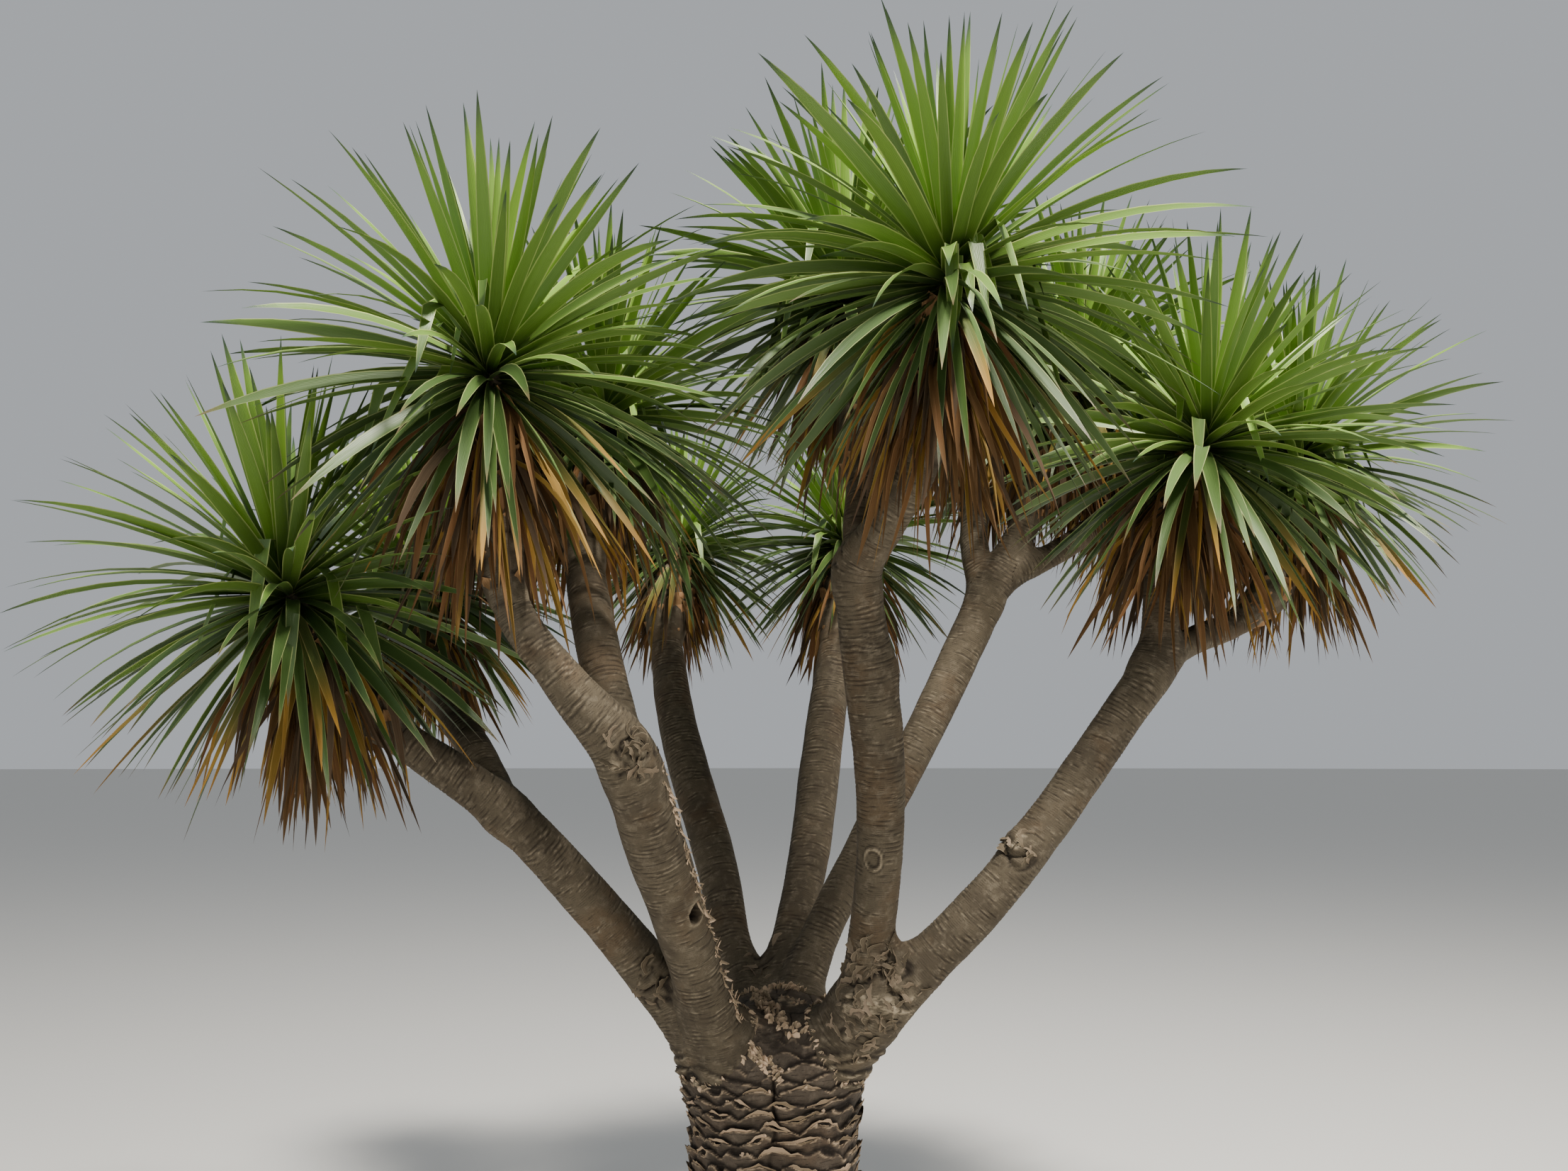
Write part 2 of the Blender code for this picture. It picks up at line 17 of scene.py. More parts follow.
import bpy
import numpy as np
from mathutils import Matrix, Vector


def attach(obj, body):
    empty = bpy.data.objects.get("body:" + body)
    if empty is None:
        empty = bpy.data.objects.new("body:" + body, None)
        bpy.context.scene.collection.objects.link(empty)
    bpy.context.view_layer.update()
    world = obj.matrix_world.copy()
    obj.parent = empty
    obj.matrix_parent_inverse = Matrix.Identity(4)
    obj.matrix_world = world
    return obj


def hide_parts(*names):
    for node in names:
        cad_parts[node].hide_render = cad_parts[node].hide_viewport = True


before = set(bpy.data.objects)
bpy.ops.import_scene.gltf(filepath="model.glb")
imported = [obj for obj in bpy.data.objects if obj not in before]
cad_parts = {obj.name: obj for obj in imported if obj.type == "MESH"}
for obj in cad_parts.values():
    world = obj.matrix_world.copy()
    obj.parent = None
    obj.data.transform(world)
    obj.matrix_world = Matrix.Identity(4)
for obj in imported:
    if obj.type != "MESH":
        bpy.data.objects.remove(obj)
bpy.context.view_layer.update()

# %% [markdown]
# ## Lines of growth
#
# Each bough is drawn by a line from inside the trunk to the heart of its tuft, as the model's
# solids are. A point holds x, y, z and the limb's radius, in metres. "ends" says at which point
# each node of the model ends, and "leaf" is the length of that tuft's longest leaves. The line
# could be any spline. A Catmull-Rom curve is used because it passes through its own points,
# so that a point can be measured on the real tree.

# %% The lines
GROWTH = {
    "left": {
        "points": [(-0.10, -0.04, 0.86, 0.075), (-0.274, -0.125, 1.10, 0.060), (-0.572, -0.26, 1.455, 0.052),
                   (-0.83, -0.35, 1.655, 0.042), (-0.97, -0.39, 1.78, 0.040), (-1.08, -0.40, 1.975, 0.034)],
        "ends": {"trunk": 1, "bough_left": 3, "tuft_left": 5},
        "leaf": 0.62},
    "left_back": {
        "points": [(-0.60, -0.268, 1.475, 0.040), (-0.70, -0.12, 1.61, 0.043), (-0.82, 0.06, 1.735, 0.038),
                   (-0.90, 0.20, 1.86, 0.037), (-0.97, 0.34, 2.09, 0.032)],
        "ends": {"branch_left_back": 2, "tuft_left_back": 4},
        "leaf": 0.56},
    "front": {
        "points": [(-0.08, -0.08, 0.85, 0.075), (-0.155, -0.22, 1.10, 0.060), (-0.24, -0.42, 1.405, 0.066),
                   (-0.30, -0.55, 1.61, 0.064), (-0.42, -0.60, 1.76, 0.046), (-0.53, -0.62, 1.915, 0.039),
                   (-0.575, -0.60, 2.10, 0.038), (-0.605, -0.55, 2.44, 0.034)],
        "ends": {"trunk": 1, "bough_front": 3, "branch_front_outer": 5, "tuft_front": 7},
        "leaf": 0.63},
    "front_inner": {
        "points": [(-0.29, -0.53, 1.58, 0.045), (-0.335, -0.48, 1.71, 0.048), (-0.385, -0.40, 1.87, 0.048),
                   (-0.425, -0.30, 2.03, 0.046), (-0.45, -0.20, 2.22, 0.042), (-0.42, -0.08, 2.46, 0.036)],
        "ends": {"branch_front_inner": 3, "tuft_front_inner": 5},
        "leaf": 0.56},
    "back_left": {
        "points": [(-0.05, 0.06, 0.87, 0.060), (-0.095, 0.23, 1.09, 0.050), (-0.163, 0.42, 1.355, 0.056),
                   (-0.265, 0.62, 1.65, 0.057), (-0.33, 0.82, 1.95, 0.050), (-0.325, 0.95, 2.13, 0.045),
                   (-0.31, 1.05, 2.30, 0.035)],
        "ends": {"trunk": 1, "bough_back_left": 4, "tuft_back_left": 6},
        "leaf": 0.47},
    "back_middle": {
        "points": [(-0.01, 0.06, 0.87, 0.058), (0.048, 0.235, 1.115, 0.050), (0.105, 0.40, 1.355, 0.056),
                   (0.155, 0.61, 1.70, 0.057), (0.195, 0.77, 1.94, 0.052), (0.22, 0.88, 2.10, 0.046),
                   (0.235, 1.00, 2.31, 0.036)],
        "ends": {"trunk": 1, "bough_back_middle": 4, "tuft_back_middle": 6},
        "leaf": 0.51},
    "back_right": {
        "points": [(0.03, 0.01, 0.87, 0.058), (0.11, 0.125, 1.115, 0.049), (0.23, 0.24, 1.345, 0.048),
                   (0.395, 0.35, 1.63, 0.051), (0.558, 0.44, 1.945, 0.055), (0.63, 0.47, 2.09, 0.050),
                   (0.735, 0.50, 2.28, 0.042), (0.80, 0.53, 2.44, 0.041), (0.93, 0.60, 2.76, 0.034)],
        "ends": {"trunk": 1, "bough_back_right": 5, "branch_back_right": 6, "tuft_back_right": 8},
        "leaf": 0.60},
    "back_right_inner": {
        "points": [(0.61, 0.462, 2.05, 0.040), (0.598, 0.54, 2.18, 0.041), (0.605, 0.62, 2.30, 0.041),
                   (0.64, 0.72, 2.44, 0.040), (0.74, 0.86, 2.75, 0.033)],
        "ends": {"branch_back_right_inner": 2, "tuft_back_right_inner": 4},
        "leaf": 0.60},
    "back_right_outer": {
        "points": [(0.64, 0.472, 2.105, 0.036), (0.80, 0.49, 2.185, 0.034), (0.93, 0.58, 2.27, 0.034),
                   (1.055, 0.72, 2.375, 0.034), (1.17, 0.85, 2.57, 0.031)],
        "ends": {"branch_back_right_outer": 3, "tuft_back_right_outer": 4},
        "leaf": 0.50},
    "middle": {
        "points": [(0.06, -0.03, 0.84, 0.085), (0.165, -0.10, 0.94, 0.082), (0.232, -0.14, 1.05, 0.075),
                   (0.237, -0.165, 1.175, 0.055), (0.258, -0.235, 1.43, 0.054), (0.245, -0.31, 1.68, 0.060),
                   (0.205, -0.395, 1.94, 0.053), (0.20, -0.43, 2.03, 0.052), (0.265, -0.50, 2.125, 0.044),
                   (0.32, -0.56, 2.235, 0.048), (0.36, -0.61, 2.43, 0.045), (0.392, -0.62, 2.63, 0.036)],
        "ends": {"trunk": 3, "bough_middle": 7, "branch_middle_front": 9, "tuft_top": 11},
        "leaf": 0.65},
    "middle_back": {
        "points": [(0.20, -0.41, 1.985, 0.034), (0.205, -0.36, 2.13, 0.037), (0.218, -0.29, 2.25, 0.038),
                   (0.22, -0.18, 2.45, 0.038), (0.20, 0.0, 2.79, 0.034)],
        "ends": {"branch_middle_back": 2, "tuft_top_back": 4},
        "leaf": 0.62},
    "right": {
        "points": [(0.22, -0.13, 1.01, 0.066), (0.382, -0.155, 1.144, 0.057), (0.59, -0.175, 1.372, 0.052),
                   (0.848, -0.15, 1.712, 0.051), (0.94, -0.125, 1.845, 0.050), (0.95, -0.125, 1.99, 0.040),
                   (0.96, -0.13, 2.10, 0.038), (1.02, -0.125, 2.25, 0.037), (1.08, -0.12, 2.38, 0.033)],
        "ends": {"trunk": 1, "bough_right": 4, "branch_right_up": 6, "tuft_right": 8},
        "leaf": 0.62},
    "right_outer": {
        "points": [(0.92, -0.13, 1.83, 0.038), (1.06, -0.05, 1.90, 0.034), (1.19, 0.05, 1.95, 0.034),
                   (1.32, 0.14, 2.05, 0.036), (1.40, 0.20, 2.21, 0.034), (1.43, 0.22, 2.42, 0.031)],
        "ends": {"branch_right_outer": 2, "tuft_right_outer": 5},
        "leaf": 0.58},
}
print(len(GROWTH), "lines of growth")

# %% A smooth line through its points
MEASURES = 80                   # places at which each step of a line is measured


def unit(vectors):
    """Each vector over its own length."""
    return vectors / np.linalg.norm(vectors, axis=-1, keepdims=True)


def line_at(points, places):
    """Centres, tangents and radii at many places on a line; place 2.5 is halfway from point 2 to
    point 3. Between two points the line is a cubic that leaves one and reaches the other along
    half the step between their neighbours."""
    rows = np.array(points)
    last = len(rows) - 1
    index = np.clip(np.floor(places).astype(int), 0, last - 1)
    t = (np.asarray(places) - index)[:, None]
    before, start, end, after = (rows[np.clip(index + k, 0, last)] for k in (-1, 0, 1, 2))
    leave = (end - before) / np.where(index > 0, 2.0, 1.0)[:, None]
    arrive = (after - start) / np.where(index + 2 <= last, 2.0, 1.0)[:, None]
    row = ((2 * t**3 - 3 * t**2 + 1) * start + (t**3 - 2 * t**2 + t) * leave
           + (3 * t**2 - 2 * t**3) * end + (t**3 - t**2) * arrive)
    slope = ((6 * t**2 - 6 * t) * start + (3 * t**2 - 4 * t + 1) * leave
             + (6 * t - 6 * t**2) * end + (3 * t**2 - 2 * t) * arrive)
    return row[:, :3], unit(slope[:, :3]), row[:, 3]


def measure_line(points):
    """Places all along the line, and the distance of each from its first point."""
    places = np.linspace(0, len(points) - 1, MEASURES * (len(points) - 1) + 1)
    centres, _, _ = line_at(points, places)
    steps = np.linalg.norm(np.diff(centres, axis=0), axis=1)
    return places, np.concatenate([[0.0], np.cumsum(steps)])


def distance_of(line, place):
    """How far along its line a place is."""
    return float(np.interp(place, line["places"], line["distances"]))


def at_distances(line, along):
    """Centres, tangents and radii at distances along a line."""
    return line_at(line["points"], np.interp(along, line["distances"], line["places"]))


for line in GROWTH.values():
    line["pieces"] = list(zip(line["ends"], [0, *line["ends"].values()], line["ends"].values()))
    line["places"], line["distances"] = measure_line(line["points"])
print("wood to cover:", round(sum(line["distances"][-1] for line in GROWTH.values()), 2), "m")

# %% [markdown]
# ## Directions
#
# Three small rules serve every piece. One takes a direction square to another. One turns a
# direction round a line, which lays out the ring of a limb and the spiral of a tuft alike. The
# last gives the turn between two angles the short way round, for what sits on the trunk.
# Blender's own vectors could do this one at a time. These rules take whole arrays at once.

# %% Directions square to a line
UP = np.array([0.0, 0.0, 1.0])
NORTH = (0.0, 1.0, 0.0)         # no limb points this way, so it can set where a ring starts


def square_to(vectors, ways):
    """The part of each vector that is square to a unit way, as a unit vector."""
    return unit(vectors - ways * (vectors * ways).sum(-1, keepdims=True))


def outward_at(tangents, angles):
    """Directions away from a line: cos(angle) side + sin(angle) ahead, where side is square to the
    tangent and to +Y, and ahead is square to both."""
    side = unit(np.cross(tangents, NORTH))
    ahead = np.cross(tangents, side)
    return np.cos(angles)[..., None] * side + np.sin(angles)[..., None] * ahead


def turn_between(angle, centre):
    """The turn from one angle to another, between -pi and pi."""
    return np.remainder(angle - centre + math.pi, 2 * math.pi) - math.pi


print("a ring round +Z starts along", outward_at(UP, np.array([0.0]))[0])

# %% [markdown]
# ## Noise in space
#
# Bark is never regular, so each rule below is bent by a smooth random number that belongs to
# a point in space. Because it depends on the point alone, it runs on without a break from one
# limb to the next. It could come from Blender's own texture functions, one point at a time.
# Here the same lattice rule is written for whole arrays, which is far quicker.

# %% Value noise
MIX_X, MIX_Y, MIX_Z, MIX_SEED, MIX_AGAIN = 374761393, 668265263, 2147483647, 974634777, 1274126177
LOW_32_BITS, LOW_16_BITS = 0xFFFFFFFF, 0xFFFF


def value_noise(points, size, seed):
    """From -1 to 1. Random values stand on a lattice of cubes of the given size, and the value
    between them is blended from the eight corners by 3t^2 - 2t^3 in x, y and z."""
    place = points / size
    cell = np.floor(place).astype(np.int64)
    t = place - cell
    t = t * t * (3 - 2 * t)
    nearness = (1 - t, t)
    total = np.zeros(points.shape[:-1])
    for dx, dy, dz in np.ndindex(2, 2, 2):
        x, y, z = cell[..., 0] + dx, cell[..., 1] + dy, cell[..., 2] + dz
        code = (x * MIX_X + y * MIX_Y + z * MIX_Z + seed * MIX_SEED) & LOW_32_BITS
        code = ((code ^ (code >> 13)) * MIX_AGAIN) & LOW_32_BITS
        value = ((code ^ (code >> 16)) & LOW_16_BITS) / (LOW_16_BITS / 2) - 1
        total += value * (nearness[dx][..., 0] * nearness[dy][..., 1] * nearness[dz][..., 2])
    return total


def layered(points, layers):
    """The sum of several noises, from rows of a strength, a size in metres and a seed."""
    return sum(strength * value_noise(points, size, seed) for strength, size, seed in layers)


def smooth_step(low, high, value):
    """0 below low, 1 above high and 3t^2 - 2t^3 between; low may be above high."""
    t = np.clip((value - low) / (high - low), 0, 1)
    return t * t * (3 - 2 * t)


def bell(value, middle, width):
    """1 in the middle and less on both sides: exp(-((value - middle) / width)^2)."""
    return np.exp(-(((value - middle) / width) ** 2))


print("noise at the origin", round(float(value_noise(np.zeros((1, 3)), 0.1, 1)[0]), 3))

# %% [markdown]
# ## From arrays to a mesh
#
# A limb is a grid of points that is closed at both ends. One helper lists the faces of such a
# tube, and another makes the mesh and writes the numbers that the materials read into named
# attributes. A mesh could be built vertex by vertex with bmesh, but for a million triangles
# whole arrays go in with foreach_set, in one call each.


# %% Mesh helpers
def add_piece(name, points, faces, attributes, material):
    """A mesh object from an array of points, a list of face arrays with equal corner counts, and
    one number for each point under each attribute's name."""
    mesh = bpy.data.meshes.new(name)
    mesh.vertices.add(len(points))
    mesh.vertices.foreach_set("co", points.astype(np.float32).ravel())
    corners = np.concatenate([face.ravel() for face in faces])
    sizes = np.concatenate([np.full(len(face), face.shape[1]) for face in faces])
    mesh.loops.add(len(corners))
    mesh.loops.foreach_set("vertex_index", corners.astype(np.int32))
    mesh.polygons.add(len(sizes))
    mesh.polygons.foreach_set("loop_start", (np.cumsum(sizes) - sizes).astype(np.int32))
    mesh.update(calc_edges=True)
    for key, values in attributes.items():
        numbers = mesh.attributes.new(key, "FLOAT", "POINT").data
        numbers.foreach_set("value", values.astype(np.float32).ravel())
    mesh.shade_smooth()
    mesh.materials.append(material)
    thing = bpy.data.objects.new(name, mesh)
    bpy.context.scene.collection.objects.link(thing)
    print(f"{name}: {int((sizes - 2).sum())} triangles")
    return thing


def take_place(piece, sharp, nodes):
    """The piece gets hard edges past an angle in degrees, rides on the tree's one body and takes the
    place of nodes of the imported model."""
    piece.data.set_sharp_from_angle(angle=math.radians(sharp))
    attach(piece, "root")
    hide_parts(*nodes)


def tube_faces(rows, columns):
    """Quads between the rows of a closed ring, with a fan over each end. Point i * columns + j is
    column j of row i, and the two last points are the middles of the ends."""
    i, j = np.meshgrid(np.arange(rows - 1), np.arange(columns), indexing="ij")
    low, high, onward = i * columns, (i + 1) * columns, (j + 1) % columns
    sides = np.stack([low + j, low + onward, high + onward, high + j], axis=-1).reshape(-1, 4)
    j, onward = j[0], onward[0]
    foot_middle, top = rows * columns, (rows - 1) * columns
    foot = np.stack([onward, j, np.full(columns, foot_middle)], axis=-1)
    head = np.stack([top + j, top + onward, np.full(columns, foot_middle + 1)], axis=-1)
    return [sides, np.concatenate([foot, head])]


def close_grid(grid):
    """A tube's grid of points as one list, with the middle of each end ring added to it."""
    ends = np.stack([grid[0].mean(axis=0), grid[-1].mean(axis=0)])
    return np.concatenate([grid.reshape(-1, grid.shape[-1]), ends])


print("a closed tube of 3 rings of 4 points has", sum(map(len, tube_faces(3, 4))), "faces")

# %% [markdown]
# ## Shader groups
#
# The finishes share a few effects: weathered patches with crevices darkened as painted shade and
# lips lightened, partly as painted highlight, fine rings round a limb, and the pattern of one leaf
# blade. Each could be repeated in every material. Each is a node group here, built once, with
# named inputs, and every material places it with its own colours. A few small helpers keep the
# building of nodes readable.


# %% Node helpers
def plug(tree, inputs, values):
    """Each named input gets a value as it is, or a link from an output."""
    for key, value in values.items():
        if isinstance(value, bpy.types.NodeSocket):
            tree.links.new(value, inputs[key])
        else:
            inputs[key].default_value = value


def node(tree, kind, values=None, **settings):
    """A new node with its settings and its inputs' values."""
    made = tree.nodes.new(kind)
    for key, value in settings.items():
        setattr(made, key, value)
    plug(tree, made.inputs, values or {})
    return made


def calc(tree, operation, first, second=0.0):
    """The output of one Math node."""
    return node(tree, "ShaderNodeMath", {0: first, 1: second}, operation=operation).outputs[0]


def times(tree, first, second):
    """The product of two values."""
    return calc(tree, "MULTIPLY", first, second)


def plus(tree, first, second):
    """The sum of two values."""
    return calc(tree, "ADD", first, second)


def minus(tree, first, second):
    """The difference of two values."""
    return calc(tree, "SUBTRACT", first, second)


def ramp(tree, value, low, high):
    """0 where the value is low and 1 where it is high, by a smooth step; low may be above high."""
    made = node(tree, "ShaderNodeMapRange", {"Value": value, "From Min": low, "From Max": high},
                interpolation_type="SMOOTHSTEP")
    return made.outputs["Result"]


def coat(tree, below, above, mask, share=None):
    """A colour with another one over it where the mask is 1, thinned by a share."""
    strength = mask if share is None else times(tree, mask, share)
    return node(tree, "ShaderNodeMix", {0: strength, 6: below, 7: above}, data_type="RGBA").outputs[2]


print("node helpers:", [helper.__name__ for helper in (plug, node, calc, times, plus, minus, ramp, coat)])


# %% Sockets of a group and what it reads
def new_group(name, inputs, outputs):
    """An empty shader group with named sockets, and its input and output nodes."""
    tree = bpy.data.node_groups.new(name, "ShaderNodeTree")
    for label, value in inputs.items():
        kind = "NodeSocketFloat" if isinstance(value, float) else "NodeSocketColor"
        tree.interface.new_socket(label, in_out="INPUT", socket_type=kind).default_value = value
    for label, kind in outputs.items():
        tree.interface.new_socket(label, in_out="OUTPUT", socket_type="NodeSocket" + kind)
    return tree, tree.nodes.new("NodeGroupInput").outputs, tree.nodes.new("NodeGroupOutput").inputs


def place_of(tree):
    """The point that is shaded, in the object's own metres."""
    return node(tree, "ShaderNodeTexCoord").outputs["Object"]


def attribute(tree, name):
    """The number that the mesh carries under this name."""
    return node(tree, "ShaderNodeAttribute", attribute_name=name).outputs["Fac"]


def noise(tree, vector, scale, detail=3.0, roughness=0.55):
    """The height of Blender's noise at a vector."""
    values = {"Vector": vector, "Scale": scale, "Detail": detail, "Roughness": roughness}
    return node(tree, "ShaderNodeTexNoise", values).outputs["Fac"]


GROUPS = {}
print("group helpers:", [helper.__name__ for helper in (new_group, place_of, attribute, noise)])


# %% Weathered bark
def build_weathered_bark():
    """Base colour in wide darker and warmer patches with a fine mottle, dark in the crevices as painted
    shade and pale on the lips, partly as the edges' own colour and partly as painted highlight, and
    a fine grain for the bump. Every noise is given its scale per metre."""
    tree, given, out = new_group(
        "Weathered bark",
        {"Base": (0.3, 0.24, 0.17, 1), "Shade": (0.15, 0.11, 0.07, 1), "Bleach": (0.5, 0.43, 0.33, 1),
         "Warm Color": (0.2, 0.12, 0.06, 1), "Crevice Shade Color": (0.03, 0.02, 0.015, 1),
         "Lip Color And Highlight": (0.6, 0.48, 0.32, 1), "Shade Share": 0.5, "Bleach Share": 0.35},
        {"Color": "Color", "Height": "Float", "Roughness": "Float"})
    place = place_of(tree)
    wide = noise(tree, place, 7.0, 4.0)
    warm = noise(tree, place, 4.6, 3.0)
    middling = noise(tree, place, 46.0, 5.0, 0.6)
    fine = noise(tree, place, 310.0, 4.0, 0.65)
    # The crevice colour is painted shade; the lip colour is partly the edges' own and partly painted
    # highlight.
    lip = times(tree, attribute(tree, "lip"), ramp(tree, middling, 0.36, 0.52))
    color = given["Base"]
    for label, mask, share in (("Shade", ramp(tree, wide, 0.42, 0.62), given["Shade Share"]),
                               ("Warm Color", ramp(tree, warm, 0.50, 0.64), 0.45),
                               ("Bleach", ramp(tree, middling, 0.48, 0.68), given["Bleach Share"]),
                               ("Shade", ramp(tree, fine, 0.56, 0.40), 0.35),
                               ("Lip Color And Highlight", lip, None),
                               ("Crevice Shade Color", attribute(tree, "crevice_shade"), None)):
        color = coat(tree, color, given[label], mask, share)
    plug(tree, out, {"Color": color,
                     "Height": plus(tree, times(tree, middling, 0.5), times(tree, fine, 0.5)),
                     "Roughness": plus(tree, 0.74, times(tree, fine, 0.24))})
    return tree


GROUPS["bark"] = build_weathered_bark()
print("Weathered bark:", len(GROUPS["bark"].nodes), "nodes")


# %% Fine rings
def build_fine_rings():
    """Thin grooves across a limb: the distance along it, bent by noise, is cut into pitches, and a
    groove lies where the remainder passes one half. Noise breaks the grooves into slits."""
    tree, given, out = new_group("Fine rings", {"Pitch": 0.005, "Wander": 0.004},
                                 {"Height": "Float", "Slit": "Float"})
    place = place_of(tree)
    bend = times(tree, minus(tree, noise(tree, place, 24.0, 3.0), 0.5), given["Wander"])
    phase = calc(tree, "DIVIDE", plus(tree, attribute(tree, "along"), bend), given["Pitch"])
    away = calc(tree, "ABSOLUTE", minus(tree, calc(tree, "FRACT", phase), 0.5))
    broken = ramp(tree, noise(tree, place, 60.0, 2.0), 0.46, 0.60)
    slit = times(tree, ramp(tree, away, 0.17, 0.02), broken)
    plug(tree, out, {"Slit": slit, "Height": minus(tree, 1.0, slit)})
    return tree


GROUPS["rings"] = build_fine_rings()
print("Fine rings:", len(GROUPS["rings"].nodes), "nodes")


# %% One leaf blade
def build_blade_pattern():
    """A blade's colours by its own attributes: along runs from 0 at the root to 1 at the tip,
    across from -1 to 1 between the edges, and tone is one number for the whole leaf. Streaks
    are noise stretched along the blade, and veins are the sine of 30 x across."""
    tree, given, out = new_group(
        "Blade pattern",
        {"Base": (0.1, 0.2, 0.03, 1), "Margin": (0.4, 0.45, 0.15, 1), "Root Color And Shade": (0.3, 0.4, 0.1, 1),
         "Tip": (0.03, 0.05, 0.03, 1), "Tip Start": 0.9, "Streaks": 0.2, "Tone Spread": 0.3},
        {"Color": "Color", "Height": "Float"})
    along, across, tone = (attribute(tree, name) for name in ("along", "across", "tone"))
    place = node(tree, "ShaderNodeCombineXYZ", {"X": across, "Y": along, "Z": times(tree, tone, 37.0)})
    stretched = node(tree, "ShaderNodeVectorMath", {0: place.outputs[0], 1: (6.0, 1.6, 1.0)},
                     operation="MULTIPLY").outputs[0]
    streak = minus(tree, noise(tree, stretched, 1.0, 4.0, 0.6), 0.5)
    value = plus(tree, times(tree, minus(tree, tone, 0.5), given["Tone Spread"]),
                 times(tree, streak, given["Streaks"]))
    color = node(tree, "ShaderNodeHueSaturation",
                 {"Hue": plus(tree, 0.5, times(tree, value, -0.03)),
                  "Value": plus(tree, 1.0, times(tree, value, 2.0)),
                  "Color": given["Base"]}).outputs["Color"]
    edge = ramp(tree, calc(tree, "ABSOLUTE", across), 0.80, 0.95)
    tip = ramp(tree, plus(tree, along, times(tree, streak, 0.25)), given["Tip Start"], 1.0)
    # The root colour covers the lowest quarter of a blade; on green leaves it is darker, as painted shade at
    # the tuft's heart.
    color = coat(tree, color, given["Root Color And Shade"], ramp(tree, along, 0.26, 0.02))
    color = coat(tree, color, given["Margin"], edge, 0.8)
    color = coat(tree, color, given["Tip"], tip)
    veins = calc(tree, "SINE", times(tree, across, 30.0))
    plug(tree, out, {"Color": color, "Height": plus(tree, times(tree, veins, 0.3), streak)})
    return tree


GROUPS["blade"] = build_blade_pattern()
print("Blade pattern:", len(GROUPS["blade"].nodes), "nodes")

# %% [markdown]
# ## Bark
#
# The trunk is brown-grey with tan lips on its old leaf bases; the tan is partly painted highlight,
# and its dark crevices are painted shade. The boughs are smoother and a little greener. Both could
# share one material with two colours, but a finish that belongs to a whole piece is a material of
# its own, so it stays right however the mesh is used later.


# %% Bark materials
def new_material(name, color):
    """A material with its Principled shader and a matching viewport colour."""
    material = bpy.data.materials.new(name)
    material.use_nodes = True
    material.diffuse_color = color
    return material, material.node_tree, material.node_tree.nodes["Principled BSDF"]


def use_group(tree, key, values):
    """The outputs of a shader group that a material places with its own values."""
    return node(tree, "ShaderNodeGroup", values, node_tree=GROUPS[key]).outputs


def bump(tree, height, depth, strength):
    """The normal of a surface with a relief of this depth in metres."""
    values = {"Strength": strength, "Distance": depth, "Height": height}
    return node(tree, "ShaderNodeBump", values).outputs["Normal"]


def bark_material(name, colors, ring_pitch, grain):
    """Weathered bark with fine slits across it, darkened as painted shade; grain is the bump's depth
    in metres.
    """
    material, tree, shader = new_material(name, colors["Base"])
    bark = use_group(tree, "bark", colors)
    rings = use_group(tree, "rings", {"Pitch": ring_pitch, "Wander": ring_pitch * 1.5})
    height = plus(tree, bark["Height"], rings["Height"])
    # The fine slits are darkened with the Shade colour as painted shade in their grooves.
    plug(tree, shader.inputs, {"Base Color": coat(tree, bark["Color"], colors["Shade"], rings["Slit"], 0.72),
                               "Roughness": bark["Roughness"], "Specular IOR Level": 0.25,
                               "Normal": bump(tree, height, grain, 0.8)})
    return material


# The base colours are kept dark partly as painted shade of the crown over the wood. The near-black crevice
# colour is painted shade, and the pale lip colour is partly painted highlight.
TRUNK_BARK = bark_material(
    "scaly_trunk_bark",
    {"Base": (0.079, 0.062, 0.046, 1), "Shade": (0.037, 0.028, 0.020, 1), "Bleach": (0.150, 0.122, 0.092, 1),
     "Warm Color": (0.098, 0.062, 0.037, 1), "Crevice Shade Color": (0.008, 0.005, 0.003, 1),
     "Lip Color And Highlight": (0.43, 0.32, 0.21, 1), "Shade Share": 0.70, "Bleach Share": 0.45},
    ring_pitch=0.011, grain=0.0016)
BOUGH_BARK = bark_material(
    "ringed_bough_bark",
    {"Base": (0.097, 0.078, 0.051, 1), "Shade": (0.048, 0.037, 0.024, 1), "Bleach": (0.182, 0.152, 0.108, 1),
     "Warm Color": (0.112, 0.070, 0.036, 1), "Crevice Shade Color": (0.012, 0.008, 0.005, 1),
     "Lip Color And Highlight": (0.33, 0.27, 0.185, 1), "Shade Share": 0.68, "Bleach Share": 0.45},
    ring_pitch=0.0052, grain=0.0008)
print("bark:", TRUNK_BARK.name, "and", BOUGH_BARK.name)

# %% [markdown]
# ## Leaves by age
#
# Leaves are sorted by age: bright upright ones, darker ones below them, ones that dry from the
# tip, and then straw, rust and grey dead ones. The green colours differ partly as leaves do with
# age and partly as painted light and shade: the bright one stands for upright leaves in the light,
# the dark one for low leaves in the tuft's shade. One material could mix the colours by a random
# number, but a tint that belongs to whole leaves is plain base colour here. The same pattern
# also serves thin bark: the bases of lost leaves, peeling flakes, rims and torn strips.

# %% Leaf materials
BLADE_GRAIN = 0.0006            # the bump's depth in metres
PALE_EDGE = (0.38, 0.45, 0.14)
DARK_TIP = (0.026, 0.050, 0.036)
DRY_TIP = (0.30, 0.150, 0.016)


def leaf_material(name, base, margin, root, tip, tip_start, streaks, spread, roughness):
    """A blade's finish. The colours are linear red, green and blue."""
    material, tree, shader = new_material(name, (*base, 1))
    colors = {"Base": base, "Margin": margin, "Root Color And Shade": root, "Tip": tip}
    blade = use_group(tree, "blade", {**{label: (*color, 1) for label, color in colors.items()},
                                      "Tip Start": tip_start, "Streaks": streaks, "Tone Spread": spread})
    plug(tree, shader.inputs, {"Base Color": blade["Color"], "Roughness": roughness,
                               "Specular IOR Level": min(0.5, 0.9 - roughness),
                               "Normal": bump(tree, blade["Height"], BLADE_GRAIN, 0.5)})
    return material
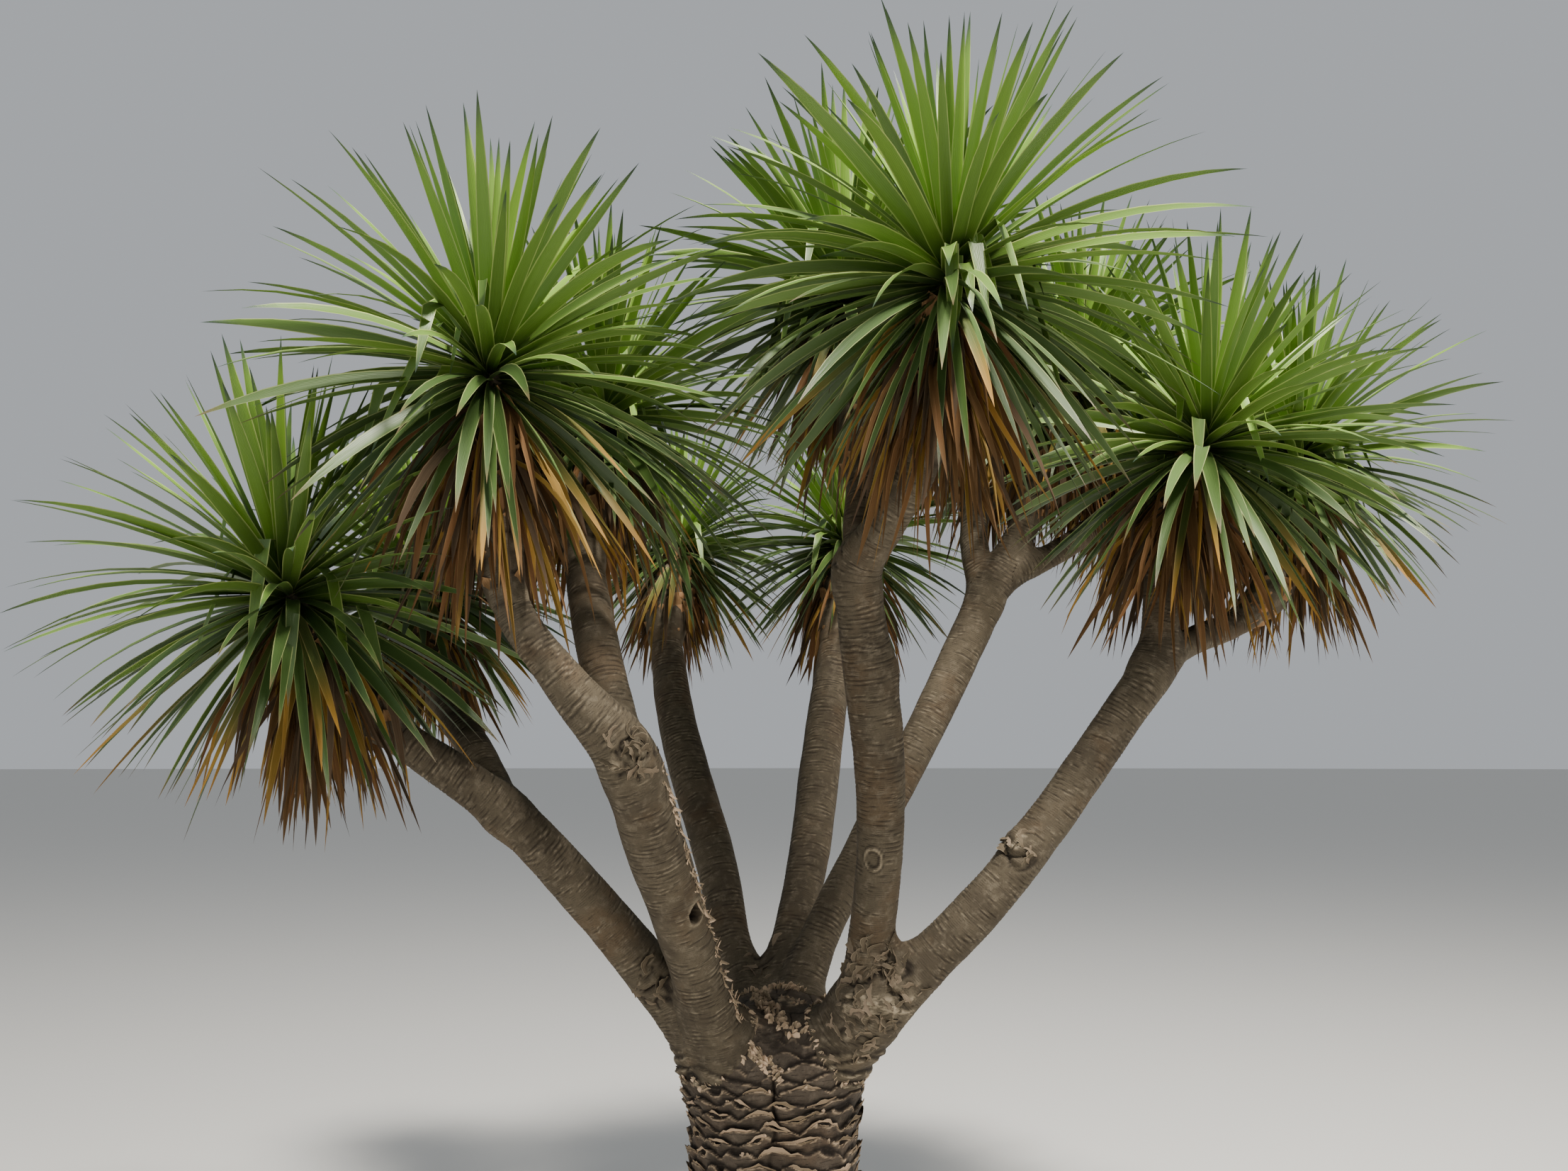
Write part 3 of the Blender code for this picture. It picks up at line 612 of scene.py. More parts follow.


# base, margin, root (on green leaves darker, as painted shade at the tuft's heart) and tip; then
# where the tip starts, streaks, spread of tone and roughness
LEAF_COLORS = {
    "young": ((0.136, 0.258, 0.024), PALE_EDGE, (0.085, 0.160, 0.018), DARK_TIP, 0.80, 0.16, 0.24, 0.42),
    "grown": ((0.098, 0.180, 0.026), PALE_EDGE, (0.050, 0.096, 0.014), DARK_TIP, 0.84, 0.18, 0.28, 0.42),
    "old": ((0.048, 0.092, 0.018), (0.26, 0.30, 0.11), (0.030, 0.055, 0.012), (0.12, 0.080, 0.035),
            0.86, 0.20, 0.30, 0.44),
    "drying": ((0.088, 0.112, 0.025), (0.34, 0.28, 0.10), (0.12, 0.17, 0.04), DRY_TIP,
               0.44, 0.36, 0.30, 0.58),
    "straw": ((0.262, 0.152, 0.028), (0.40, 0.26, 0.080), (0.24, 0.138, 0.030), (0.22, 0.125, 0.035),
              0.70, 0.50, 0.40, 0.72),
    "rust": ((0.148, 0.076, 0.029), (0.25, 0.140, 0.06), (0.15, 0.078, 0.03), (0.12, 0.068, 0.03),
             0.70, 0.45, 0.40, 0.76),
    "grey": ((0.084, 0.057, 0.034), (0.165, 0.115, 0.07), (0.10, 0.06, 0.03), (0.085, 0.055, 0.035),
             0.70, 0.45, 0.40, 0.82),
}
LEAF_FINISHES = {age: leaf_material(age + "_leaf", *row) for age, row in LEAF_COLORS.items()}
print("leaf finishes:", sorted(LEAF_FINISHES))

# %% Thin bark
LEAF_BASE = leaf_material("leaf_base", (0.21, 0.118, 0.055), (0.38, 0.25, 0.13), (0.14, 0.07, 0.03),
                          (0.34, 0.20, 0.10), 0.65, 0.50, 0.40, 0.80)
FLAKE = leaf_material("peeling_bark", (0.40, 0.30, 0.20), (0.52, 0.41, 0.29), (0.22, 0.15, 0.10),
                      (0.50, 0.39, 0.27), 0.80, 0.50, 0.55, 0.85)
# The rims are pale partly as torn edges are and partly as painted highlight.
SCALE_RIM = leaf_material("scale_rim", (0.30, 0.22, 0.145), (0.50, 0.385, 0.26), (0.28, 0.20, 0.13),
                          (0.28, 0.20, 0.13), 0.90, 0.60, 0.50, 0.85)
TORN_BARK = leaf_material("torn_bark", (0.145, 0.114, 0.079), (0.32, 0.255, 0.175), (0.12, 0.092, 0.062),
                          (0.12, 0.092, 0.062), 0.90, 0.60, 0.50, 0.85)
print("thin bark:", [material.name for material in (LEAF_BASE, FLAKE, SCALE_RIM, TORN_BARK)])

# %% [markdown]
# ## The trunk's column
#
# Old leaf bases wrap the trunk in scales that overlap like shingles, one row shifted by half a
# scale from the next. Each scale leans outwards to a lip at its top, with a dark hollow above.
# A sculpted mesh or a displacement image could show that. Here the height of the bark is a
# function of the angle and the height on the trunk, so the scales follow the trunk's swell.

# %% The column without bark
TRUNK_RADIUS = 0.197
TRUNK_TOP = 1.03
DOME_FOOT = 0.88
TRUNK_LEAN = 0.015
SHOULDER_SWELL, SHOULDER_HEIGHT, SHOULDER_SPREAD = 0.014, 0.87, 0.09
ROOT_FLARE, ROOT_FLARE_HEIGHT, ROOT_LOBES, ROOT_LOBE_DEPTH = 0.085, 0.11, 5, 0.020
FRONT, BACK = -math.pi / 2, math.pi / 2
SEAM_DEPTH, SEAM_HALF_ANGLE = 0.020, 0.24


def column_radius(height, angle):
    """A cylinder that swells at its shoulder, flares into ribbed roots at its foot and is pinched
    by a seam front and back, as the solid is."""
    flare = np.exp(-height / ROOT_FLARE_HEIGHT)
    radius = TRUNK_RADIUS + ROOT_FLARE * flare + ROOT_LOBE_DEPTH * flare * np.cos(ROOT_LOBES * angle)
    radius = radius + SHOULDER_SWELL * bell(height, SHOULDER_HEIGHT, SHOULDER_SPREAD)
    for seam in (FRONT, BACK):
        radius = radius - SEAM_DEPTH * (1 - flare) * bell(turn_between(angle, seam), 0, SEAM_HALF_ANGLE)
    return radius


def on_column(height, angle, radius):
    """Points at this height and angle, this far from the column's leaning axis."""
    return np.stack([TRUNK_LEAN * height + radius * np.cos(angle), radius * np.sin(angle), height], axis=-1)


def column_distance(points):
    """How far points are outside the column: the distance to a cylinder that ends in half an
    ellipsoid, by its level over its slope."""
    x = points[:, 0] - TRUNK_LEAN * points[:, 2]
    across = np.hypot(x, points[:, 1])
    radius = column_radius(np.minimum(points[:, 2], DOME_FOOT), np.arctan2(points[:, 1], x))
    rise = np.maximum(points[:, 2] - DOME_FOOT, 0.0)
    tall = TRUNK_TOP - DOME_FOOT
    level = np.sqrt((across / radius) ** 2 + (rise / tall) ** 2)
    slope = np.sqrt((across / radius**2) ** 2 + (rise / tall**2) ** 2)
    return level * (level - 1) / np.maximum(slope, 1e-6)


print("column", round(2 * TRUNK_RADIUS, 3), "m across,", TRUNK_TOP, "m to its dome")

# %% The column's grid
COLUMN_ROWS = {0.56: 0.0062, DOME_FOOT: 0.0031}       # the step of the rows up to each height
COLUMN_COLUMNS = 324
DOME_ROWS, DOME_TURN = 66, math.radians(86)


def column_grid():
    """Rows of points up the column and over its dome, with the outward direction at each."""
    straight, low = [], 0.0
    for high, step in COLUMN_ROWS.items():
        straight.append(np.linspace(low, high, round((high - low) / step), endpoint=False))
        low = high
    straight = np.concatenate(straight)
    rise = np.linspace(0, DOME_TURN, DOME_ROWS)
    heights = np.concatenate([straight, DOME_FOOT + (TRUNK_TOP - DOME_FOOT) * np.sin(rise)])
    narrowing = np.concatenate([np.ones(len(straight)), np.cos(rise)])[:, None]
    lift = np.concatenate([np.zeros(len(straight)), np.sin(rise)])[:, None]
    angles = np.linspace(0, 2 * math.pi, COLUMN_COLUMNS, endpoint=False)
    height, angle = np.meshgrid(heights, angles, indexing="ij")
    grid = on_column(height, angle, column_radius(height, angle) * narrowing)
    outward = np.stack([np.cos(angle) * narrowing, np.sin(angle) * narrowing, lift + 0 * angle], axis=-1)
    return grid, unit(outward), height, angle


print("rows and columns of points:", column_grid()[2].shape)

# %% [markdown]
# ## Where limbs run together
#
# Boughs don't stand on the trunk like pipes: the bark runs over from one to the other in a
# curve. A Boolean union and a remesh could make that, but would lose the tidy rows that the
# bark's rings need. Instead every point slides outwards until it lies on the smooth union of
# its own limb and its neighbours. Each limb covers its own half of the curve, to a little past
# the line where both are equally near, and then dips below the other.

# %% Wood as rows of balls
BALL_STEP = 0.01                # the balls' middles are this far apart


def balls_along(line, first, last, swell=None):
    """Rows of x, y, z and radius down the middle of a limb."""
    low, high = distance_of(line, first), distance_of(line, last)
    along = np.linspace(low, high, max(2, round((high - low) / BALL_STEP)))
    centres, _, radii = at_distances(line, along)
    if swell is not None:
        radii = radii * swell(np.linspace(0, 1, len(radii)))
    return np.column_stack([centres, radii])


def gap_to(points, balls):
    """Distance from each point to the nearest ball's surface."""
    away = (points**2).sum(1)[:, None] + (balls[:, :3] ** 2).sum(1)[None, :] - 2 * points @ balls[:, :3].T
    return (np.sqrt(np.maximum(away, 0)) - balls[None, :, 3]).min(axis=1)


for line in GROWTH.values():
    _, wood_end, _ = line["pieces"][-1]               # where the tuft starts
    line["balls"] = balls_along(line, 0, wood_end)
WOOD = np.concatenate([line["balls"] for line in GROWTH.values()])
print("balls of wood:", len(WOOD))

# %% Smooth unions
FORK_REACH = 0.075              # how widely bark runs over from one limb to the next, at the trunk
BRANCH_REACH = 0.045            # and where a branch leaves a bough
FORK_LEVEL, BOUGH_LEVEL = 1.15, 1.45                  # the reach changes between these heights
OVERLAP = 0.004                 # how far each limb's bark follows the union past the middle
MEET_WIDTH = 0.006              # how far from the middle two limbs count as meeting
SLIDE_ROUNDS = 7
POINTS_AT_ONCE = 6000


def slide_out(grid, outward, own):
    """How far each point slides to lie on the smooth union, and how near it is to the line where
    two limbs meet. Its slide t is its distance from its own limb and d is its distance from the
    nearest other one. With h as the share by which |t - d| is under the reach, the surface is
    where the smaller of t and d equals h^2 reach / 4."""
    points = grid.reshape(-1, 3)
    normals = outward.reshape(-1, 3)
    reach = BRANCH_REACH + (FORK_REACH - BRANCH_REACH) * smooth_step(BOUGH_LEVEL, FORK_LEVEL, points[:, 2])
    low = points.min(axis=0) - 2 * FORK_REACH
    high = points.max(axis=0) + 2 * FORK_REACH
    near = np.concatenate([line["balls"] for key, line in GROWTH.items() if key != own])
    near = near[((near[:, :3] > low - near[:, 3:]) & (near[:, :3] < high + near[:, 3:])).all(axis=1)]

    def other(place):
        """Distance to the nearest limb but the points' own one: the least gap to a ball, and to
        the column where it isn't the points' own."""
        gap = np.full(len(place), 1.0)
        if len(near):
            parts = np.array_split(place, max(1, len(place) // POINTS_AT_ONCE))
            gap = np.concatenate([gap_to(part, near) for part in parts])
        return np.minimum(gap, column_distance(place)) if own else gap

    active = other(points) < reach
    reach = reach[active]
    t = np.zeros(len(reach))
    for _ in range(SLIDE_ROUNDS):
        d = other(points[active] + t[:, None] * normals[active])
        share = np.clip(reach - np.abs(t - d), 0, None) / reach
        miss = np.minimum(t, d) - share**2 * reach / 4
        t = np.clip(t - miss, 0, np.where(d > 0, (t + d) / 2 + OVERLAP, 0))
    slide, meet = np.zeros(len(points)), np.zeros(len(points))
    slide[active] = t
    meet[active] = bell(t - d, 0, MEET_WIDTH)
    return slide.reshape(grid.shape[:2]), meet.reshape(grid.shape[:2])


print("two limbs run together over", FORK_REACH * 1000, "mm at the fork")

# %% [markdown]
# ## Scales
#
# A scale is the clasping foot of a lost leaf. Its face rises from its foot to a torn upper
# edge, and some have a pocket there, like a half moon. Scales could be single meshes set on
# the trunk, thirteen to a row. As relief of one surface they grow out of the bark instead, and
# stay closed. Each rule gives a height in metres, and masks that say where the hollows and the
# lips are, so that the material can paint shade into the hollows and the pockets, and paint the
# lips pale, partly as their own colour and partly as painted highlight.

# %% The make of one scale
SCALES_AROUND = 13
SCALE_RISE = 0.030              # from one row of scales to the next
SCALE_HEIGHT = 0.0165
BEND_ACROSS = [(0.30, 0.13, 11), (0.15, 0.045, 17)]   # strength in scales, size, seed
BEND_RISE = [(0.70, 0.16, 12), (0.38, 0.055, 13), (0.13, 0.017, 18), (0.07, 0.008, 19)]
LUCK_SEEDS = (14, 15, 20, 29)
POCKET_DROP, POCKET_DEPTH = 0.50, 0.010


def scale_bend(points):
    """How far noise shifts the scales across and up, in scales and in rows."""
    return layered(points, BEND_ACROSS), layered(points, BEND_RISE)


def scale_luck(column, row):
    """Four numbers from -1 to 1 that make each scale itself."""
    each = np.stack([np.mod(column, SCALES_AROUND) * 3.71, row * 2.93, 0 * row], axis=-1)
    return [value_noise(each, 1.0, seed) for seed in LUCK_SEEDS]


def scale_bow(x):
    """1 in the middle of a scale and 0 at both its sides."""
    return np.cos(math.pi * np.clip(x, -0.5, 0.5))


def scale_arch(x, luck):
    """The upper edge of a scale in rows above its foot: a low arch that leans to one side."""
    arch = 0.84 + 0.16 * luck[0] + (0.50 + 0.30 * luck[1]) * scale_bow(x)
    return arch + 0.30 * luck[2] * np.sin(math.pi * x)


def scale_face(x, part, luck):
    """How far the face stands out: it rises as part^1.5 from its foot to its edge, most in the
    middle."""
    tall = SCALE_HEIGHT * (0.85 + 0.45 * luck[2]) * (0.38 + 0.62 * scale_bow(x))
    return tall * np.clip(part, 0, 1) ** 1.5


def pocket_of(luck):
    """The middle and the half width of the pocket in a scale's lip; no width, no pocket."""
    return 0.14 * luck[1], np.where(luck[3] > -0.12, 0.20 + 0.06 * luck[0], 0.0)


print("a scale each", SCALE_RISE * 1000, "mm; a plain one stands out by",
      round(scale_face(0, 1, (0, 0, 0, 0)) * 1000, 1), "mm")


# %% One scale and its pocket
def one_scale(x, y, luck):
    """Height, lip, pocket and inside of one scale, by the place x across it, from -0.5 to 0.5, and
    the number y of rows above its foot, and how far y is above its arch. The lip mask is painted
    pale, partly as the edge's own colour and partly as painted highlight, and the pocket mask is
    painted shade. The pocket is a half moon that hangs from the edge: (x - middle)^2 / half^2 +
    (y - arch)^2 / drop^2 < 1."""
    arch = scale_arch(x, luck)
    middle, half = pocket_of(luck)
    moon = ((x - middle) / np.maximum(half, 0.01)) ** 2 + ((y - arch) / POCKET_DROP) ** 2
    moon = np.where(half > 0, moon, 9.0)
    relief = scale_face(x, y / arch, luck) - POCKET_DEPTH * smooth_step(1.0, 0.35, moon)
    lip = bell(y - arch, -0.07, 0.09) * smooth_step(0.6, 1.0, moon)
    lip = np.maximum(lip, 0.8 * bell(moon, 1.12, 0.22))
    return relief, lip, smooth_step(1.0, 0.55, moon), smooth_step(0.03, -0.08, y - arch), y - arch


print("a pocket is", POCKET_DEPTH * 1000, "mm deep and hangs over", POCKET_DROP, "of a row")


# %% Scales over each other
def scale_relief(points):
    """Heights and masks of the trunk's scales. They overlap like shingles in rows, each row shifted
    by half a scale. Across and rise count scales around and up the trunk, both bent by noise. A
    point belongs to the scale of the row below if it lies under that one's arch, and otherwise to
    its own row. The share tells where scales cover the wood; they give way to smoother bark over
    the fork."""
    height = points[..., 2]
    angle = np.arctan2(points[..., 1], points[..., 0] - TRUNK_LEAN * height)
    bend_across, bend_rise = scale_bend(points)
    across = angle / (2 * math.pi) * SCALES_AROUND + bend_across
    rise = height / SCALE_RISE + bend_rise
    own_row = np.floor(rise)
    found = []
    for row in (own_row - 1, own_row):
        shifted = across - 0.5 * np.mod(row, 2)
        column = np.round(shifted)
        found.append(one_scale(shifted - column, rise - row, scale_luck(column, row)))
    (low_height, low_lip, low_pocket_shade, low_in, above), (own_height, own_lip, own_pocket_shade, own_in, _) = found

    def upper_of(low, own):
        """What counts at a point: the lower row's value inside its scale, and otherwise the own
        row's value inside its scale."""
        return low_in * low + (1 - low_in) * own_in * own

    # Painted shade: the hollow above a lower scale's lip, the gaps between scales and the pockets are
    # darkened, thinned by noise.
    hollow = np.maximum((1 - low_in) * smooth_step(0.48, 0.08, above), (1 - low_in) * (1 - own_in))
    crevice_shade = np.maximum(hollow, upper_of(low_pocket_shade, own_pocket_shade))
    crevice_shade = 0.95 * crevice_shade * smooth_step(-0.9, 0.1, value_noise(points, 0.05, 27) + 0.4)
    # The lips are painted pale, partly as the torn edges' own colour and partly as painted highlight.
    lip = upper_of(low_lip, own_lip)
    lip = lip * smooth_step(-0.9, 0.3, value_noise(points, 0.03, 16) + 0.2) * (1 - crevice_shade)
    centre = np.exp(-((points[..., 0] ** 2 + points[..., 1] ** 2) / 0.15**2))
    share = smooth_step(0.985, 0.885, height - 0.05 * centre + 0.06 * value_noise(points, 0.10, 21))
    share = share * smooth_step(1.005, 0.965, height)
    return upper_of(low_height, own_height) * share, crevice_shade * share, lip * share, share


samples = on_column(np.linspace(0.1, 0.8, 2000), np.linspace(0, 20, 2000), TRUNK_RADIUS)
print("highest scale", round(float(scale_relief(samples)[0].max()) * 1000, 1), "mm")

# %% [markdown]
# ## Rings and wrinkles
#
# Rings cross the boughs, as grooves that wander and break off. Wrinkled wound wood fills the
# forks and closes over lost branches. Both could be painted in the material alone, but these
# grooves are deep enough to show in the outline, so they are relief like the scales.

# %% Rings of the boughs
RING_PITCH = 0.0108
RING_DEPTH = 0.0012
RING_WANDER = [(0.0080, 0.062, 41), (0.0030, 0.021, 42)]
RING_SEED, RING_BREAKS = 43, [(0.4, 0.12, 44)]
BOUGH_LUMPS = [(0.0021, 0.085, 45), (0.0007, 0.028, 46)]


def ring_relief(points, outward, along):
    """Grooves round a limb, one for each pitch of the distance along it, with a low swell between
    them. Each one fades in and out by noise that belongs to its number and to the side of the
    limb that it is on."""
    phase = (along[:, None] + layered(points, RING_WANDER)) / RING_PITCH
    number = np.floor(phase)
    away = np.abs(phase - number - 0.5)
    luck = value_noise(outward * 2.1 + number[..., None] * 5.731, 1.0, RING_SEED)
    groove = smooth_step(0.24, 0.03, away) * smooth_step(-0.35, 0.45, luck + layered(points, RING_BREAKS))
    swell = -0.18 * np.cos(2 * math.pi * (phase - number - 0.5))
    lip = smooth_step(0.30, 0.46, away) * smooth_step(0.1, 0.6, luck) * 0.45
    # The grooves' mask paints them dark as painted shade; the ridges between them take the pale lip colour,
    # partly as painted highlight.
    return RING_DEPTH * (swell - groove) + layered(points, BOUGH_LUMPS), groove * 0.75, lip


print("a ring each", RING_PITCH * 1000, "mm")

# %% Wrinkled wound wood
WRINKLE_BEND, WRINKLE_SIZE, SMALL_WRINKLE_SIZE = 0.014, 0.036, 0.015
WRINKLE_SEEDS = (31, 32, 33)


def wrinkle_relief(points):
    """Folded wound wood: rounded lumps between creases, sqrt|noise| at two sizes. The points are
    bent by noise first, so that the lumps curl round each other."""
    bend = np.stack([value_noise(points, WRINKLE_SIZE, seed) for seed in WRINKLE_SEEDS], axis=-1)
    bent = points + WRINKLE_BEND * bend
    large = np.sqrt(np.abs(value_noise(bent * (1.0, 1.0, 1.15), WRINKLE_SIZE, 34)))
    small = np.sqrt(np.abs(value_noise(bent, SMALL_WRINKLE_SIZE, 35)))
    # The second value marks the creases, which the bark darkens as painted shade.
    return 1.35 * large + 0.45 * small - 1.0, smooth_step(0.40, 0.14, large) * 0.95


print("wrinkles about", WRINKLE_SIZE * 1000, "mm across")

# %% [markdown]
# ## Scars
#
# A few marks make this tree itself: wound wood at the fork and where boughs divide, knots on
# the left and the right bough, a knee and a bulge near the top of the middle bough, a hollow
# where a branch rotted away and a healed oval scar. The boughs at the back have a scar or two
# as well. Marks could be painted or sculpted one by one. Here each is a place on the surface
# with a size, and a bell curve around it sets how strongly it acts.

# %% Scars by their places
WOUNDS = {                      # x, y, z of the middle, reach, height of the wrinkles, bulge
    "fork": (0.252, -0.208, 1.078, 0.100, 0.0195, 0.005),
    "fork_band": (0.190, -0.200, 0.950, 0.060, 0.0060, 0.002),
    "right_crotch": (0.300, -0.165, 1.145, 0.040, 0.0080, 0.006),
    "left_knot": (-0.258, -0.180, 1.079, 0.056, 0.0150, 0.010),
    "front_fork": (-0.272, -0.600, 1.612, 0.060, 0.0145, 0.004),
    "right_knot": (0.580, -0.215, 1.388, 0.046, 0.0125, 0.010),
    "right_knot_top": (0.569, -0.184, 1.427, 0.022, 0.0050, 0.008),
    "middle_bulge": (0.285, -0.350, 1.810, 0.050, 0.0010, 0.011),
    "back_fork": (-0.020, 0.210, 1.060, 0.075, 0.0070, 0.003),
    "back_right_fork": (0.630, 0.500, 2.120, 0.050, 0.0065, 0.003),
    "left_fork": (-0.660, -0.220, 1.550, 0.045, 0.0065, 0.003),
    "right_fork": (0.985, -0.110, 1.900, 0.050, 0.0065, 0.003),
    "middle_fork": (0.168, -0.425, 2.052, 0.050, 0.0105, 0.005),
    "back_scar": (0.160, 0.665, 1.700, 0.032, 0.0060, 0.005),
    "back_left_scar": (-0.205, 0.575, 1.500, 0.030, 0.0060, 0.004),
}
HOLLOW = {"middle": (-0.157, -0.376, 1.270), "size": (0.0185, 0.0245), "depth": 0.034}
OVAL_SCAR = {"middle": (0.238, -0.272, 1.376), "size": (0.0190, 0.0250)}
FORK_WRINKLE = 0.0022           # height of the wrinkles wherever limbs run together
print(len(WOUNDS), "wounds, a hollow and an oval scar")


# %% Scar relief
def oval_distance(points, scar):
    """How far points are from a scar's middle, as a share of its half width across and its half
    height up."""
    away = points - np.array(scar["middle"])
    return np.sqrt((np.hypot(away[..., 0], away[..., 1]) / scar["size"][0]) ** 2
                   + (away[..., 2] / scar["size"][1]) ** 2)


def scar_relief(points, fork_share):
    """Heights and masks of all the scars, and of the wrinkles where limbs run together; strength
    and calm tell where the rings give way to them. Round the hollow and the oval scar, each bell
    curve of the oval distance is a raised lip or a crease. The crevice mask is painted shade in the
    creases, the hollow and the oval's grooves, and the lip mask paints the tops of the folds and
    the raised rims pale, as painted highlight."""
    reach = fork_share * FORK_WRINKLE
    bulge = np.zeros(points.shape[:-1])
    for x, y, z, size, strength, swell in WOUNDS.values():
        nearness = np.exp(-((points - (x, y, z)) ** 2).sum(axis=-1) / size**2)
        reach = np.maximum(reach, strength * smooth_step(0.25, 0.80, nearness))
        bulge = bulge + swell * nearness
    fold, crease = wrinkle_relief(points)
    hole = oval_distance(points, HOLLOW)
    oval = oval_distance(points, OVAL_SCAR)
    height = bulge + reach * fold - HOLLOW["depth"] * smooth_step(1.02, 0.78, hole)
    height = height + 0.0032 * bell(hole, 1.22, 0.20) + 0.0030 * bell(oval, 1.0, 0.20)
    height = height - 0.0020 * smooth_step(0.85, 0.6, oval)
    crevice_shade = np.maximum.reduce([crease * smooth_step(0.0012, 0.0045, reach), smooth_step(1.05, 0.90, hole),
                                 0.9 * bell(oval, 0.72, 0.11), 0.7 * bell(oval, 1.34, 0.09)])
    lip = np.maximum.reduce([smooth_step(0.25, 0.60, fold) * smooth_step(0.0015, 0.0050, reach),
                             0.6 * bell(hole, 1.25, 0.14), 0.9 * bell(oval, 1.04, 0.13)])
    calm = smooth_step(1.9, 1.2, np.minimum(oval, hole))
    return height, crevice_shade, lip, np.clip(reach / 0.0045, 0, 1), calm


middles = np.array([wound[:3] for wound in WOUNDS.values()])
print("bulges at the wounds:", np.round(scar_relief(middles, 0.0)[0] * 1000), "mm")

# %% [markdown]
# ## The trunk's bark
#
# The trunk is one closed skin: the column's grid with the scales on it, wrinkled where the
# boughs leave it and split down the front, where two stems grew together. It could be many
# small pieces, but one surface shades evenly and has no cracks.


# %% Dress the trunk's column
def with_masks(grid, along, crevice_shade, lip):
    """A surface: six numbers for each point of a grid, x, y, z, the distance along, and how much
    the point is in a crevice and on a lip. The first is painted as shade, the second as a pale
    colour that is partly painted highlight."""
    return np.concatenate([grid, np.stack([along, crevice_shade, lip], axis=-1)], axis=-1)


def dress_column():
    """The column's grid slides into the boughs' feet, then takes its scales, which give way to
    wrinkles over its dome, and a split down its front seam, darkened as painted shade."""
    grid, outward, height, angle = column_grid()
    slide, meet = slide_out(grid, outward, None)
    grid = grid + slide[..., None] * outward
    scales, crevice_shade, lip, share = scale_relief(grid)
    scar, scar_crevice, scar_lip, _, _ = scar_relief(grid, 2.0 * smooth_step(0.86, 0.95, height))
    rough = layered(grid, [(0.0016, 0.035, 22), (0.0010, 0.014, 23)])
    seam = turn_between(angle, FRONT + layered(grid, [(0.07, 0.08, 24), (0.03, 0.03, 25)]))
    split = bell(seam, 0, 0.024) * smooth_step(0.30, 0.60, height) * smooth_step(0.91, 0.86, height)
    split = split * (0.35 + 0.65 * smooth_step(0.70, 0.79, height))
    relief = scales + (1 - 0.7 * share) * scar + rough - 0.012 * split
    relief = relief * smooth_step(-0.004, 0.012, height)
    grid = grid + relief[..., None] * outward
    # Crevices, scar creases and the split are painted shade; the lips' pale colour is partly painted
    # highlight.
    crevice_shade = np.maximum(np.maximum(crevice_shade, scar_crevice * (1 - share)), split)
    lip = np.maximum(lip, scar_lip * (1 - share))
    return with_masks(grid, height, crevice_shade, lip), outward, meet


COLUMN, COLUMN_OUTWARD, COLUMN_MEET = dress_column()
print("the dressed column reaches", round(float(COLUMN[..., 2].max()), 3), "m up")

# %% From surfaces of bark to a piece
BARK_POINTS = []                # every point of bark, for the strips that cling to it later


def add_bark(name, surfaces, material, nodes):
    """One piece from the surfaces of the trunk or of limbs, as with_masks made them."""
    points, faces, start = [], [[], []], 0
    for surface in surfaces:
        closed = close_grid(surface)
        for group, part in zip(faces, tube_faces(*surface.shape[:2])):
            group.append(part + start)
        points.append(closed)
        start += len(closed)
    packed = np.concatenate(points)
    BARK_POINTS.append(packed[:, :3])
    masks = {"along": packed[:, 3], "crevice_shade": packed[:, 4], "lip": packed[:, 5]}
    piece = add_piece(name, packed[:, :3], [np.concatenate(group) for group in faces], masks, material)
    take_place(piece, 80, nodes)


add_bark("trunk_bark", [COLUMN], TRUNK_BARK, ["trunk"])

# %% [markdown]
# ## Boughs and branches
#
# A limb is its line of growth with a ring of points at each step. It could be a bevelled curve,
# but a curve has no room for relief. The ring's first direction is square to the line and to
# +Y, so that no ring turns against its neighbour. The pieces of one line use the same rings
# where they meet, so that the bark runs on without a step.

# %% The surface of a limb
ROW_STEPS = {"foot": 0.0034, "branch": 0.0034, "stem": 0.0090}
COLUMNS = {"foot": 60, "branch": 46, "stem": 28}      # points round a limb


def limb_surface(key, first, last, swell=None):
    """Points and masks of one limb between two places of its line: centre + radius x outward,
    where outward turns round the tangent, and then the slide and the relief."""
    line = GROWTH[key]
    kind = "stem" if swell else "foot" if line["pieces"][0][0] == "trunk" else "branch"
    low, high = distance_of(line, first), distance_of(line, last)
    along = np.linspace(low, high, max(3, round((high - low) / ROW_STEPS[kind]) + 1))
    centres, tangents, radii = at_distances(line, along)
    if swell:
        radii = radii * swell(np.linspace(0, 1, len(radii)))
    outward = outward_at(tangents[:, None], np.linspace(0, 2 * math.pi, COLUMNS[kind], endpoint=False))
    grid = centres[:, None, :] + radii[:, None, None] * outward
    slide = np.zeros(grid.shape[:2]) if swell else slide_out(grid, outward, key)[0]
    grid = grid + slide[..., None] * outward
    scales, scale_crevice, scale_lip, share = scale_relief(grid)
    rings, crevice_shade, lip = ring_relief(grid, outward, along)
    scar, scar_crevice, scar_lip, strength, calm = scar_relief(grid, np.clip(slide / 0.012, 0, 1))
    keep = (1 - 0.8 * strength) * (1 - 0.9 * calm) * (1 - 0.8 * share)
    relief = rings * keep + (1 - 0.7 * share) * scar + scales
    grid = grid + relief[..., None] * outward
    # Crevices are painted shade; the lips' pale colour is partly painted highlight.
    crevice_shade = np.maximum(np.maximum(crevice_shade * keep, scar_crevice * (1 - share)), scale_crevice)
    lip = np.maximum(np.maximum(lip * keep, scar_lip * (1 - share)), scale_lip)
    return with_masks(grid, along[:, None] + 0 * slide, crevice_shade, lip)


print("rings of", COLUMNS, "points, this far apart:", ROW_STEPS)

